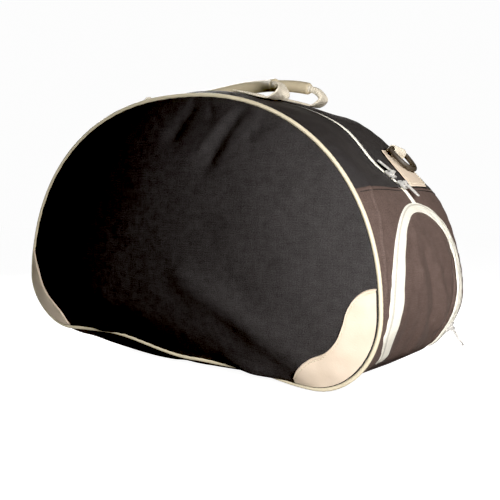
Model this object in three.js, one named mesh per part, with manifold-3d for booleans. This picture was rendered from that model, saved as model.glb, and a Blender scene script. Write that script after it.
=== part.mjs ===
// A half-moon travel bag: two puffed faces joined by a gusset, with piping, zips, handles and strap rings.
// Millimetres, +Z up, front towards -Y, right end towards +X. The origin lies under the middle of the base.
import * as THREE from "three";
import { mergeVertices } from "three/addons/utils/BufferGeometryUtils.js";
import Module from "manifold-3d";

const wasm = await Module();
wasm.setup();

// Sewn shell: the seam outline is a flat base, two rounded corners and an arch.
const HALF_LENGTH = 250;
const WIDEST_LEVEL = 82;
const ARCH_RISE = 229;
const ARCH_POWER = 2.2;
const CORNER_RUN = 72;
const DEPTH = 210;
const WALL = 2.2;
const GAP = 0.3;
const HALF_DEPTH = DEPTH / 2;

// Stations are distances along the outline from the middle of the base, right end first.
const SEAM_STEPS = 72;
const BASE_STEPS = 9;
const BASE_SEAM_STEP = 12;
const END_SEAM = 428;
const SHARE_BASE = 0.26;
const SHARE_CORNER = 0.18;
const OUTLINE_DIVISIONS = 2400;
const RIM_SAMPLES = 1440;
const LEAST_STEP_SHARE = 0.05;

// Piping cord along both seams, and how far the sewn edges stay from its middle.
const PIPING_RADIUS = 2.6;
const PIPING_SIDES = 5;
const PIPING_GAP = 0.5;
const SEAM_CLEARANCE = PIPING_RADIUS + PIPING_GAP;
const EDGE_DEPTH = HALF_DEPTH - SEAM_CLEARANCE;

// How far the gusset swells beyond the seams, by level.
const GUSSET_SWELL = [
  { at: 0, swell: 0 },
  { at: 30, swell: 6 },
  { at: 95, swell: 12 },
  { at: 190, swell: 11 },
  { at: 265, swell: 5 },
  { at: 311, swell: 3 },
];
const SWELL_POWER = 4;

// Humps and dents of the gusset: station and depth of the middle, height, and reach each way.
const GUSSET_DENTS = [
  { name: "crown raised by the handles", station: 676, depth: 0, rise: 8, along: 62, across: 260 },
  { name: "right shoulder sunk at the zip", station: 466, depth: -16, rise: -9, along: 40, across: 46 },
  { name: "left shoulder sunk at the zip", station: 892, depth: 4, rise: -6, along: 46, across: 50 },
  { name: "low right end pushed out", station: 262, depth: 70, rise: 6, along: 45, across: 60 },
];

// Where the back seam lies off the front one: station of the middle, shift outwards and reach along the seam.
const SEAM_SHIFTS = [
  { name: "right shoulder drawn in", station: 480, shift: -9, along: 55 },
  { name: "right end pushed out", station: 300, shift: 3, along: 55 },
];

// How far the base rises off the floor along its length, at the front seam, the middle and the back seam.
const BASE_LIFT = {
  front: [
    { at: -250, lift: 34 },
    { at: -120, lift: 36 },
    { at: 20, lift: 17 },
    { at: 80, lift: 15 },
    { at: 180, lift: 3.5 },
  ],
  middle: [
    { at: -250, lift: 22 },
    { at: -50, lift: 0 },
    { at: 150, lift: 0 },
    { at: 250, lift: 16 },
  ],
  back: [
    { at: -250, lift: 26 },
    { at: -30, lift: 9 },
    { at: 130, lift: 9 },
    { at: 250, lift: 26 },
  ],
};
const LIFT_FADE_LEVEL = 150;
const FLAT_SHARE = 0.45;

// Faces: the height of the puff, its middle, and how square its shoulders are.
const FRONT_PUFF = 35;
const BACK_PUFF = 30;
const PUFF_LEVEL = 125;
const PUFF_POWER = 3.2;
const FACE_COLUMNS = 12;
const TOP_GUSSET_COLUMNS = 4;
const BASE_SIDE_COLUMNS = 3;

// Folds of the front face: a line from one point to another, its height and half width.
const FRONT_FOLDS = [
  { name: "crease under the front handle", fromX: 92, fromZ: 296, toX: 56, toZ: 236, rise: -6, width: 15 },
  { name: "crease left of it", fromX: 28, fromZ: 300, toX: 6, toZ: 266, rise: -4, width: 14 },
  { name: "crease right of it", fromX: 126, fromZ: 282, toX: 104, toZ: 262, rise: -3.5, width: 14 },
  { name: "low ridge to the corner", fromX: 36, fromZ: 107, toX: 160, toZ: 30, rise: 5, width: 18 },
];

// Leatherette corners of the front face: the free edge of the right one.
const PATCH_EDGE = [
  { x: 241, z: 112 },
  { x: 232, z: 101 },
  { x: 223, z: 88 },
  { x: 217, z: 70 },
  { x: 209, z: 54 },
  { x: 195, z: 42 },
  { x: 177, z: 32 },
  { x: 166, z: 22 },
  { x: 157, z: 8 },
];
const PATCH_FROM_STATION = 155;
const PATCH_TO_STATION = 328;
const PATCH_GAP = 0.6;
const PATCH_WALL = 1.2;
const PATCH_STEPS_ALONG = 11;
const PATCH_STEPS_ACROSS = 4;

// Zips: tape width, raised teeth, and the main zip's place on the gusset, where it wanders a little.
const ZIP_HALF_WIDTH = 4;
const ZIP_TEETH_HALF_WIDTH = 1.7;
const ZIP_TEETH_RISE = 0.9;
const ZIP_START_STATION = 415;
const ZIP_DEPTH = 3;
const ZIP_WANDER = 1.5;
const ZIP_WANDER_LENGTH = 160;
const ZIP_SLOT_HALF_WIDTH = ZIP_HALF_WIDTH + GAP;
const ZIP_SLOT_ABOVE = 2 * WALL;
const ZIP_SLOT_CUT = 5 * WALL;

// Arched pocket on the right end: steep legs that bend into a flat top and lean in below a level.
const POCKET_OUTER = { halfWidth: 97, height: 192 };
const POCKET_INNER = { halfWidth: 79, height: 182 };
const POCKET_BACK_LEAN = { depth: 28, fromLevel: 60, toLevel: 150 };
const POCKET_FRONT_LEAN = { depth: 20, fromLevel: 25, toLevel: 65 };
const POCKET_CURVE_STEPS = 18;

// Carry handles: webbing sewn to the gusset, rolled inside a grip. Rows run from the tail to the middle.
// The left half is the same, but lies lower by "leftDrop".
const STRAP_HALF_WIDTH = 12.5;
const STRAP_HALF_THICKNESS = 1;
const ROLLED_HALF_WIDTH = 3.5;
const ROLLED_HALF_THICKNESS = 1.6;
const GRIP_RADIUS = 7;
const GRIP_BORE = 5.1;
const GRIP_SIDES = 9;
const GRIP_STEPS = 8;
const GRIP_SEARCH_STEPS = 400;
const FREE_HALF_SHARE = 0.25;
const TAIL_FROM = 40;
const TAIL_TO = 72;
const TAIL_STEPS = 3;
const TAIL_GAP = 0.7;
const CROWN_SEARCH_TURNS = 8;
const HANDLE_STEPS = 40;
const ROLL_FROM = 0.012;
const ROLL_TO = 0.05;
const HANDLES = [
  {
    name: "front_handle",
    sewnDepth: -48,
    gripHalfLength: 74,
    route: [
      { x: 87, depth: -47, level: 308.5, leftDrop: 0 },
      { x: 96, depth: -43, level: 314.5, leftDrop: 2 },
      { x: 89, depth: -35, level: 322, leftDrop: 5 },
      { x: 74, depth: -20, level: 327, leftDrop: 7 },
      { x: 40, depth: 2, level: 331, leftDrop: 5.5 },
      { x: 0, depth: 8, level: 331 },
    ],
  },
  {
    name: "back_handle",
    sewnDepth: 48,
    gripHalfLength: 88,
    route: [
      { x: 88, depth: 47.5, level: 308.5, leftDrop: 0 },
      { x: 98, depth: 46.5, level: 315.5, leftDrop: 2 },
      { x: 92, depth: 45, level: 324.5, leftDrop: 5 },
      { x: 75, depth: 44, level: 330.5, leftDrop: 6.5 },
      { x: 40, depth: 43, level: 336, leftDrop: 6 },
      { x: 0, depth: 42, level: 336.5 },
    ],
  },
];

// Shoulder strap rings: a tab on the gusset, a webbing loop on it, and a ring hinged in the loop.
const TAB_FROM_STATION = 429;
const TAB_TO_STATION = 491;
const TAB_DEPTH = 62;
const TAB_SLANT = 0.36;
const TAB_HALF_WIDTH = 23.5;
const TAB_GAP = 0.4;
const TAB_WALL = 1.4;
const TAB_STEPS_ALONG = 6;
const TAB_STEPS_ACROSS = 3;
const LOOP_STATION = 482;
const LOOP_SLANT = 0.18;
const LOOP_WIDTH = 26;
const LOOP_RADIUS = 5.6;
const LOOP_BORE = 3.6;
const LOOP_CURVE_STEPS = 8;
const LOOP_FOOT = TAB_GAP + TAB_WALL + 2 * GAP;
const LOOP_LEVEL = LOOP_FOOT + LOOP_RADIUS;
const RING_RADIUS = 2.9;
const RING_HALF_WIDTH = 18;
const RING_REACH = 30;
const RING_BEND = 5;
const RING_TIP_SHARE = 0.6;
const RING_SHOULDER_SHARE = 0.7;
const RING_STEPS = 26;
const RING_SIDES = 6;
const RINGS = [
  { side: "right", sense: 1, dropDeg: 4.5 },
  { side: "left", sense: -1, dropDeg: 5 },
];

// Zip sliders: a body with two lugs and a pin, and a flat pull whose rolled eye turns on the pin.
const SLIDER = { length: 12, width: 8, thickness: 2.2 };
const SLIDER_FLOOR = ZIP_TEETH_RISE + GAP;
const PIN_LEVEL = 5.8;
const PIN_RADIUS = 0.8;
const PIN_SIDES = 8;
const LUG = { length: 3.6, width: 1.1, offset: 3.1, top: 7.2 };
const EYE_RADIUS = 1.9;
const EYE_BORE = 1.15;
const EYE_CURVE_STEPS = 6;
const PULL = { length: 22, width: 4.4, thickness: 1.3 };
const SLIDERS = [
  { zip: "main", mark: "_a", station: 447, depthAt: mainZipDepth, sense: 1, seat: 0, liftDeg: 0 },
  { zip: "main", mark: "_b", station: 430, depthAt: mainZipDepth, sense: -1, seat: 0, liftDeg: 0 },
  {
    zip: "pocket",
    mark: "",
    station: 262,
    depthAt: pocketZipDepth,
    sense: -1,
    seat: -ZIP_TEETH_RISE,
    liftDeg: 66,
  },
];

const MERGE_DISTANCE = 1e-4;

const MATERIALS = {
  cloth: new THREE.MeshStandardMaterial({ color: 0x2a2927, roughness: 0.85, metalness: 0 }),
  leatherette: new THREE.MeshStandardMaterial({ color: 0xeee2c8, roughness: 0.5, metalness: 0 }),
  piping: new THREE.MeshStandardMaterial({ color: 0xd9cfb4, roughness: 0.55, metalness: 0 }),
  webbing: new THREE.MeshStandardMaterial({ color: 0xd7caae, roughness: 0.9, metalness: 0 }),
  tape: new THREE.MeshStandardMaterial({ color: 0xf3efe2, roughness: 0.8, metalness: 0 }),
  steel: new THREE.MeshStandardMaterial({ color: 0xc9c8c4, roughness: 0.3, metalness: 1 }),
  black: new THREE.MeshStandardMaterial({ color: 0x1b1b1d, roughness: 0.4, metalness: 0.2 }),
};

// The seam outline in the X-Z plane.
class SeamOutline extends THREE.Curve {
  constructor() {
    super();
    this.arcLengthDivisions = OUTLINE_DIVISIONS;
  }

  getPoint(t, target = new THREE.Vector3()) {
    const side = t <= 0.5 ? 1 : -1;
    const walk = t <= 0.5 ? 2 * t : 2 - 2 * t;
    const baseEnd = HALF_LENGTH - CORNER_RUN;
    if (walk < SHARE_BASE) {
      return target.set((side * baseEnd * walk) / SHARE_BASE, 0, 0);
    }
    const turned = (walk - SHARE_BASE) / SHARE_CORNER;
    if (turned < 1) {
      const angle = (turned * Math.PI) / 2;
      const x = baseEnd + CORNER_RUN * Math.sin(angle);
      return target.set(side * x, 0, WIDEST_LEVEL * (1 - Math.cos(angle)));
    }
    const climbed = (walk - SHARE_BASE - SHARE_CORNER) / (1 - SHARE_BASE - SHARE_CORNER);
    const angle = (Math.min(climbed, 1) * Math.PI) / 2;
    const x = HALF_LENGTH * Math.max(Math.cos(angle), 0) ** (2 / ARCH_POWER);
    return target.set(side * x, 0, WIDEST_LEVEL + ARCH_RISE * Math.sin(angle) ** (2 / ARCH_POWER));
  }
}

const outline = new SeamOutline();
const OUTLINE_LENGTH = outline.getLength();
const STEP = OUTLINE_LENGTH / SEAM_STEPS;
const BASE_SEAM = BASE_SEAM_STEP * STEP;

function around(station) {
  return THREE.MathUtils.euclideanModulo(station, OUTLINE_LENGTH);
}

// A point of the outline at a depth between the seams, and its outward normal.
function outlineAt(station, depth = -HALF_DEPTH) {
  const share = around(station) / OUTLINE_LENGTH;
  const point = outline.getPointAt(share);
  const tangent = outline.getTangentAt(share);
  const normal = new THREE.Vector3(tangent.z, 0, -tangent.x);
  const shift = SEAM_SHIFTS.reduce((sum, row) => {
    const along = (around(station) - row.station) / row.along;
    return sum + row.shift * Math.exp(-along * along);
  }, 0);
  point.addScaledVector(normal, shift * THREE.MathUtils.smoothstep(depth, -HALF_DEPTH, HALF_DEPTH));
  return { x: point.x, z: point.z, normal };
}

// Smooth reading of a table whose rows are sorted by their column "at".
function readTable(rows, column, at) {
  const last = rows.length - 1;
  if (at <= rows[0].at) {
    return rows[0][column];
  }
  for (let i = 0; i < last; i += 1) {
    if (at <= rows[i + 1].at) {
      const blend = THREE.MathUtils.smoothstep(at, rows[i].at, rows[i + 1].at);
      return THREE.MathUtils.lerp(rows[i][column], rows[i + 1][column], blend);
    }
  }
  return rows[last][column];
}

function baseLift(x, depth, level) {
  if (level >= LIFT_FADE_LEVEL) {
    return 0;
  }
  const edge = Math.max(0, (Math.abs(depth) / HALF_DEPTH - FLAT_SHARE) / (1 - FLAT_SHARE)) ** 2;
  const middle = readTable(BASE_LIFT.middle, "lift", x);
  const seam = readTable(depth < 0 ? BASE_LIFT.front : BASE_LIFT.back, "lift", x);
  const fade = 1 - THREE.MathUtils.smoothstep(level, 0, LIFT_FADE_LEVEL);
  return THREE.MathUtils.lerp(middle, seam, Math.min(edge, 1)) * fade;
}

function gussetSwell(station, depth, level) {
  const dents = GUSSET_DENTS.map((dent) => {
    const along = (around(station) - dent.station) / dent.along;
    const across = (depth - dent.depth) / dent.across;
    return dent.rise * Math.exp(-along * along - across * across);
  });
  const total = dents.reduce((sum, rise) => sum + rise, readTable(GUSSET_SWELL, "swell", level));
  return total * (1 - Math.min(1, Math.abs(depth) / HALF_DEPTH) ** SWELL_POWER);
}

// A point of the gusset, lifted off its outer surface by "out".
function gussetPoint(station, depth, out = 0) {
  const { x, z, normal } = outlineAt(station, depth);
  const offset = gussetSwell(station, depth, z) + out;
  const point = new THREE.Vector3(x, depth, z + baseLift(x, depth, z));
  return point.addScaledVector(normal, offset);
}

function mainZipDepth(station) {
  return ZIP_DEPTH + ZIP_WANDER * Math.sin((2 * Math.PI * station) / ZIP_WANDER_LENGTH);
}

// An upright arch's depth at a level, drawn in where a leg leans.
function pocketDepth(upright, level) {
  const lean = upright > 0 ? POCKET_BACK_LEAN : POCKET_FRONT_LEAN;
  const share = 1 - THREE.MathUtils.smoothstep(level, lean.fromLevel, lean.toLevel);
  return upright - Math.sign(upright) * lean.depth * share;
}

// The middle of the pocket zip's back leg where it is straight.
function pocketZipDepth() {
  return (POCKET_OUTER.halfWidth + POCKET_INNER.halfWidth) / 2 - POCKET_BACK_LEAN.depth;
}

// Distance from the middle of a face to its seam, by direction.
function makeRimTable(side) {
  const rows = spread(0, OUTLINE_LENGTH, RIM_SAMPLES).map((station) => {
    const { x, z } = outlineAt(station, side * HALF_DEPTH);
    return { at: Math.atan2(z - PUFF_LEVEL, x), radius: Math.hypot(x, z - PUFF_LEVEL) };
  });
  return rows.sort((a, b) => a.at - b.at);
}

const frontRim = makeRimTable(-1);
const backRim = makeRimTable(1);

function foldHeight(folds, x, z) {
  const point = new THREE.Vector3(x, 0, z);
  const nearest = new THREE.Vector3();
  return folds.reduce((sum, fold) => {
    const line = new THREE.Line3(
      new THREE.Vector3(fold.fromX, 0, fold.fromZ),
      new THREE.Vector3(fold.toX, 0, fold.toZ),
    );
    line.closestPointToPoint(point, true, nearest);
    return sum + fold.rise * Math.exp(-((nearest.distanceTo(point) / fold.width) ** 2));
  }, 0);
}

// A point of a face over (x, z) of the flat outline; side is -1 for the front and 1 for the back.
function facePoint(side, x, z, out = 0) {
  const fromMiddle = Math.hypot(x, z - PUFF_LEVEL);
  const rim = readTable(side < 0 ? frontRim : backRim, "radius", Math.atan2(z - PUFF_LEVEL, x));
  const share = Math.min(1, fromMiddle / rim);
  const puff = side < 0 ? FRONT_PUFF : BACK_PUFF;
  const folds = side < 0 ? foldHeight(FRONT_FOLDS, x, z) : 0;
  const swell = (puff + folds) * (1 - share ** PUFF_POWER);
  const y = side * (HALF_DEPTH + swell + out);
  return new THREE.Vector3(x, y, z + baseLift(x, side * HALF_DEPTH, z));
}

// Closed solids
function facingOut(geometry) {
  const index = geometry.index;
  const corner = [0, 1, 2].map(() => new THREE.Vector3());
  let volume = 0;
  for (let i = 0; i < index.count; i += 3) {
    corner.forEach((point, j) => point.fromBufferAttribute(geometry.attributes.position, index.getX(i + j)));
    volume += corner[0].dot(corner[1].clone().cross(corner[2]));
  }
  if (volume < 0) {
    index.array.reverse();
  }
  geometry.computeVertexNormals();
  return geometry;
}

// Joins a row of sections, each a loop of points, and closes both ends or runs round to the first again.
function loft(sections, round = false) {
  const count = sections[0].length;
  const index = [];
  const bands = round ? sections.length : sections.length - 1;
  for (let i = 0; i < bands; i += 1) {
    const near = i * count;
    const far = ((i + 1) % sections.length) * count;
    for (let j = 0; j < count; j += 1) {
      const next = (j + 1) % count;
      if (j < count / 2) {
        index.push(near + j, near + next, far + next, near + j, far + next, far + j);
      } else {
        index.push(near + j, near + next, far + j, near + next, far + next, far + j);
      }
    }
  }
  if (!round) {
    const end = (sections.length - 1) * count;
    for (let j = 0; j < count / 2 - 1; j += 1) {
      const [a, b, c, d] = [j, j + 1, count - 2 - j, count - 1 - j];
      index.push(a, c, b, a, d, c, end + a, end + b, end + c, end + a, end + c, end + d);
    }
  }
  const geometry = new THREE.BufferGeometry();
  const positions = sections.flat().flatMap((point) => point.toArray());
  geometry.setAttribute("position", new THREE.Float32BufferAttribute(positions, 3));
  geometry.setIndex(index);
  return facingOut(geometry);
}

function sheetSection(outer, inner) {
  return [...outer, ...inner.slice().reverse()];
}

// Evenly spread numbers, both ends among them.
function spread(from, to, steps) {
  return Array.from({ length: steps + 1 }, (_, i) => from + ((to - from) * i) / steps);
}

// Stations from one seam to another, with the shared steps that lie well between them.
function stationsBetween(from, to) {
  const first = Math.ceil(from / STEP + LEAST_STEP_SHARE);
  const last = Math.floor(to / STEP - LEAST_STEP_SHARE);
  const inside = spread(first, last, last - first).map((step) => step * STEP);
  return [from, ...inside, to];
}

// A curved sheet of the gusset between two stations, with its depths given for each station.
function gussetSheet(stations, depthsAt, out = 0, wall = WALL) {
  const sections = stations.map((station) => {
    const depths = depthsAt(station);
    const outer = depths.map((depth) => gussetPoint(station, depth, out));
    return sheetSection(outer, depths.map((depth) => gussetPoint(station, depth, out - wall)));
  });
  return loft(sections);
}

// Booleans
function toManifold(geometry) {
  const plain = geometry.clone();
  plain.deleteAttribute("normal");
  plain.deleteAttribute("uv");
  const merged = mergeVertices(plain, MERGE_DISTANCE);
  const vertProperties = new Float32Array(merged.attributes.position.array);
  const triVerts = new Uint32Array(merged.index.array);
  return new wasm.Manifold(new wasm.Mesh({ numProp: 3, vertProperties, triVerts }));
}

function fromManifold(solid) {
  const mesh = solid.getMesh();
  const geometry = new THREE.BufferGeometry();
  geometry.setAttribute("position", new THREE.Float32BufferAttribute(mesh.vertProperties, 3));
  geometry.setIndex(Array.from(mesh.triVerts));
  geometry.computeVertexNormals();
  return geometry;
}

// Faces, gusset and base
function makeFace(side) {
  const rimAt = (station) => {
    const { x, z, normal } = outlineAt(station, side * HALF_DEPTH);
    return new THREE.Vector3(x, 0, z).addScaledVector(normal, -SEAM_CLEARANCE);
  };
  const steps = spread(BASE_STEPS, SEAM_STEPS / 2 - 1, SEAM_STEPS / 2 - 1 - BASE_STEPS);
  const sections = steps.map((step) => {
    const right = rimAt(step * STEP);
    const left = rimAt(-step * STEP);
    const row = spread(0, 1, FACE_COLUMNS).map((share) => left.clone().lerp(right, share));
    const outer = row.map((point) => facePoint(side, point.x, point.z));
    return sheetSection(outer, row.map((point) => facePoint(side, point.x, point.z, -WALL)));
  });
  return loft(sections);
}

function makePiping(side) {
  const sections = spread(0, SEAM_STEPS - 1, SEAM_STEPS - 1).map((step) => {
    const middle = gussetPoint(step * STEP, side * HALF_DEPTH);
    const { normal } = outlineAt(step * STEP);
    return spread(0, PIPING_SIDES - 1, PIPING_SIDES - 1).map((i) => {
      const angle = (i * 2 * Math.PI) / PIPING_SIDES;
      const point = middle.clone().addScaledVector(normal, PIPING_RADIUS * Math.cos(angle));
      point.y += PIPING_RADIUS * Math.sin(angle);
      return point;
    });
  });
  return loft(sections, true);
}

// Depths of the columns that the base and both ends share.
function baseDepths() {
  const side = spread(FLAT_SHARE * HALF_DEPTH, EDGE_DEPTH, BASE_SIDE_COLUMNS);
  return [...side.map((depth) => -depth).reverse(), ...side];
}

function makeBase() {
  return gussetSheet(stationsBetween(-BASE_SEAM + GAP / 2, BASE_SEAM - GAP / 2), baseDepths);
}

function makeTopGusset(side) {
  const stations = stationsBetween(END_SEAM + GAP / 2, OUTLINE_LENGTH - END_SEAM - GAP / 2);
  const depthsAt = (station) =>
    spread(mainZipDepth(station) + side * ZIP_SLOT_HALF_WIDTH, side * EDGE_DEPTH, TOP_GUSSET_COLUMNS);
  return gussetSheet(stations, depthsAt);
}

function makeMainZip() {
  const profile = [
    { across: -ZIP_HALF_WIDTH, out: 0 },
    { across: -ZIP_TEETH_HALF_WIDTH, out: 0 },
    { across: -ZIP_TEETH_HALF_WIDTH, out: ZIP_TEETH_RISE },
    { across: ZIP_TEETH_HALF_WIDTH, out: ZIP_TEETH_RISE },
    { across: ZIP_TEETH_HALF_WIDTH, out: 0 },
    { across: ZIP_HALF_WIDTH, out: 0 },
    { across: ZIP_HALF_WIDTH, out: -WALL },
    { across: -ZIP_HALF_WIDTH, out: -WALL },
  ];
  const sections = stationsBetween(ZIP_START_STATION, OUTLINE_LENGTH - END_SEAM).map((station) =>
    profile.map(({ across, out }) => gussetPoint(station, mainZipDepth(station) + across, out)),
  );
  return loft(sections);
}

function makeEndSheet(sense) {
  const from = BASE_SEAM + GAP / 2;
  const to = END_SEAM - GAP / 2;
  return gussetSheet(stationsBetween(from, to).map((station) => sense * station), baseDepths);
}

// The part of space behind an arch on the right end, as a prism along X.
function makeArchPrism({ halfWidth, height }, trim) {
  const arch = new THREE.Shape();
  arch.moveTo(pocketDepth(halfWidth + trim, 0), -WIDEST_LEVEL);
  for (const share of spread(0, 1, POCKET_CURVE_STEPS)) {
    const angle = Math.PI * THREE.MathUtils.smoothstep(share, 0, 1);
    const level = (height + trim) * Math.sqrt(Math.abs(Math.sin(angle)));
    arch.lineTo(pocketDepth((halfWidth + trim) * Math.cos(angle), level), level);
  }
  arch.lineTo(pocketDepth(-halfWidth - trim, 0), -WIDEST_LEVEL);
  const prism = new THREE.ExtrudeGeometry(arch, { depth: HALF_LENGTH, bevelEnabled: false });
  const turn = new THREE.Matrix4().makeBasis(
    new THREE.Vector3(0, 1, 0),
    new THREE.Vector3(0, 0, 1),
    new THREE.Vector3(1, 0, 0),
  );
  return prism.applyMatrix4(turn).translate(HALF_LENGTH / 2, 0, 0);
}

function makeRightEnd() {
  const sheet = toManifold(makeEndSheet(1));
  const outer = (trim) => toManifold(makeArchPrism(POCKET_OUTER, trim));
  const inner = (trim) => toManifold(makeArchPrism(POCKET_INNER, trim));
  const slotStations = stationsBetween(ZIP_START_STATION - GAP, END_SEAM + STEP);
  const slotDepths = (station) => {
    const middle = mainZipDepth(station);
    return [middle - ZIP_SLOT_HALF_WIDTH, middle + ZIP_SLOT_HALF_WIDTH];
  };
  const slot = toManifold(gussetSheet(slotStations, slotDepths, ZIP_SLOT_ABOVE, ZIP_SLOT_CUT));
  return {
    panel: fromManifold(sheet.subtract(outer(GAP)).subtract(slot)),
    tape: fromManifold(sheet.intersect(outer(0)).subtract(inner(GAP))),
    flap: fromManifold(sheet.intersect(inner(0))),
  };
}

// A leatherette corner: a strip from the seam to the free edge, laid on the front face.
function makeCornerPatch(sense) {
  const edge = new THREE.SplineCurve(PATCH_EDGE.map(({ x, z }) => new THREE.Vector2(x, z)));
  const sections = spread(0, 1, PATCH_STEPS_ALONG).map((share) => {
    const station = THREE.MathUtils.lerp(PATCH_TO_STATION, PATCH_FROM_STATION, share);
    const { x, z, normal } = outlineAt(station);
    const rim = new THREE.Vector2(x - SEAM_CLEARANCE * normal.x, z - SEAM_CLEARANCE * normal.z);
    const free = edge.getPoint(share);
    const row = spread(0, 1, PATCH_STEPS_ACROSS).map((across) => rim.clone().lerp(free, across));
    const layer = (out) => row.map((point) => facePoint(-1, sense * point.x, point.y, out));
    return sheetSection(layer(PATCH_GAP + PATCH_WALL), layer(PATCH_GAP));
  });
  return loft(sections);
}

// Handles
function handleCurve({ sewnDepth, route }) {
  const onGusset = (x) => {
    const station = stationAtCrown(x);
    return gussetPoint(station, sewnDepth, STRAP_HALF_THICKNESS + TAIL_GAP);
  };
  const tail = spread(TAIL_FROM, TAIL_TO, TAIL_STEPS).map(onGusset);
  const leftTail = spread(-TAIL_TO, -TAIL_FROM, TAIL_STEPS).map(onGusset);
  const free = route.map(({ x, depth, level }) => new THREE.Vector3(x, depth, level));
  const leftFree = route.slice(0, -1).reverse().map(({ x, depth, level, leftDrop }) => {
    return new THREE.Vector3(-x, depth, level - leftDrop);
  });
  const points = [...tail, ...free, ...leftFree, ...leftTail];
  return new THREE.CatmullRomCurve3(points, false, "centripetal");
}

// The station of a point of the arch at a distance x right of the crown.
function stationAtCrown(x) {
  let station = OUTLINE_LENGTH / 2;
  for (let turn = 0; turn < CROWN_SEARCH_TURNS; turn += 1) {
    station += outlineAt(station).x - x;
  }
  return station;
}

function handleFrame(curve, share) {
  const along = curve.getTangentAt(share);
  const thick = new THREE.Vector3().crossVectors(along, new THREE.Vector3(0, 1, 0)).normalize();
  const wide = new THREE.Vector3().crossVectors(thick, along).normalize();
  return { middle: curve.getPointAt(share), wide, thick };
}

// Where the grip starts and ends on the free middle of a handle, as shares of its length.
function gripShares(curve, gripHalfLength) {
  const shares = spread(0, 1, GRIP_SEARCH_STEPS).filter((share) => {
    const isFree = Math.abs(share - 1 / 2) < FREE_HALF_SHARE;
    return isFree && Math.abs(curve.getPointAt(share).x) < gripHalfLength;
  });
  return [shares[0], shares[shares.length - 1]];
}

function makeStrap(curve, [from, to]) {
  const sections = spread(0, 1, HANDLE_STEPS).map((share) => {
    const { middle, wide, thick } = handleFrame(curve, share);
    const inGrip = Math.min(
      THREE.MathUtils.smoothstep(share, from - ROLL_TO, from - ROLL_FROM),
      1 - THREE.MathUtils.smoothstep(share, to + ROLL_FROM, to + ROLL_TO),
    );
    const halfWidth = THREE.MathUtils.lerp(STRAP_HALF_WIDTH, ROLLED_HALF_WIDTH, inGrip);
    const halfThickness = THREE.MathUtils.lerp(STRAP_HALF_THICKNESS, ROLLED_HALF_THICKNESS, inGrip);
    const corner = (w, t) =>
      middle.clone().addScaledVector(wide, w * halfWidth).addScaledVector(thick, t * halfThickness);
    return [corner(-1, 1), corner(1, 1), corner(1, -1), corner(-1, -1)];
  });
  return loft(sections);
}

function makeGrip(curve, [from, to]) {
  const frames = spread(from, to, GRIP_STEPS).map((share) => handleFrame(curve, share));
  const sections = spread(0, GRIP_SIDES - 1, GRIP_SIDES - 1).map((i) => {
    const angle = (i * 2 * Math.PI) / GRIP_SIDES;
    const line = (radius) =>
      frames.map(({ middle, wide, thick }) => {
        const point = middle.clone().addScaledVector(wide, radius * Math.cos(angle));
        return point.addScaledVector(thick, radius * Math.sin(angle));
      });
    return sheetSection(line(GRIP_RADIUS), line(GRIP_BORE));
  });
  return loft(sections, true);
}

// Fittings, each built in its own frame: x along the gusset, y across it and z out of it
function fittingFrame(station, depthAt, sense, seat = 0) {
  const point = (offset) => gussetPoint(station + offset, depthAt(station + offset), seat);
  const along = point(1).sub(point(-1)).multiplyScalar(sense).normalize();
  const depth = depthAt(station);
  const slope = gussetPoint(station, depth + 1).sub(gussetPoint(station, depth - 1));
  const out = new THREE.Vector3().crossVectors(slope, along).normalize();
  if (out.dot(outlineAt(station).normal) < 0) {
    out.negate();
  }
  const across = new THREE.Vector3().crossVectors(out, along);
  return { origin: point(0), turn: new THREE.Matrix4().makeBasis(along, across, out) };
}

function extrudeAcross(shape, width, curveSegments) {
  const solid = new THREE.ExtrudeGeometry(shape, { depth: width, bevelEnabled: false, curveSegments });
  return solid.translate(0, 0, -width / 2).rotateX(Math.PI / 2);
}

// The middle of a ring tab, which slants across the gusset.
function tabDepth(station) {
  return TAB_DEPTH + TAB_SLANT * (Math.abs(station) - LOOP_STATION);
}

function loopDepth(station) {
  return TAB_DEPTH + LOOP_SLANT * (Math.abs(station) - LOOP_STATION);
}

function makeTab(sense) {
  const depthsAt = (station) =>
    spread(tabDepth(station) - TAB_HALF_WIDTH, tabDepth(station) + TAB_HALF_WIDTH, TAB_STEPS_ACROSS);
  const stations = spread(TAB_FROM_STATION, TAB_TO_STATION, TAB_STEPS_ALONG);
  const turned = stations.map((station) => sense * station);
  return gussetSheet(turned, depthsAt, TAB_GAP + TAB_WALL, TAB_WALL);
}

function makeLoop() {
  const outer = new THREE.Shape();
  outer.moveTo(-LOOP_RADIUS, LOOP_FOOT);
  outer.lineTo(LOOP_RADIUS, LOOP_FOOT);
  outer.lineTo(LOOP_RADIUS, LOOP_LEVEL);
  outer.absarc(0, LOOP_LEVEL, LOOP_RADIUS, 0, Math.PI);
  outer.holes.push(new THREE.Path().absarc(0, LOOP_LEVEL, LOOP_BORE, 0, 2 * Math.PI, true));
  return extrudeAcross(outer, LOOP_WIDTH, LOOP_CURVE_STEPS);
}

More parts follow.
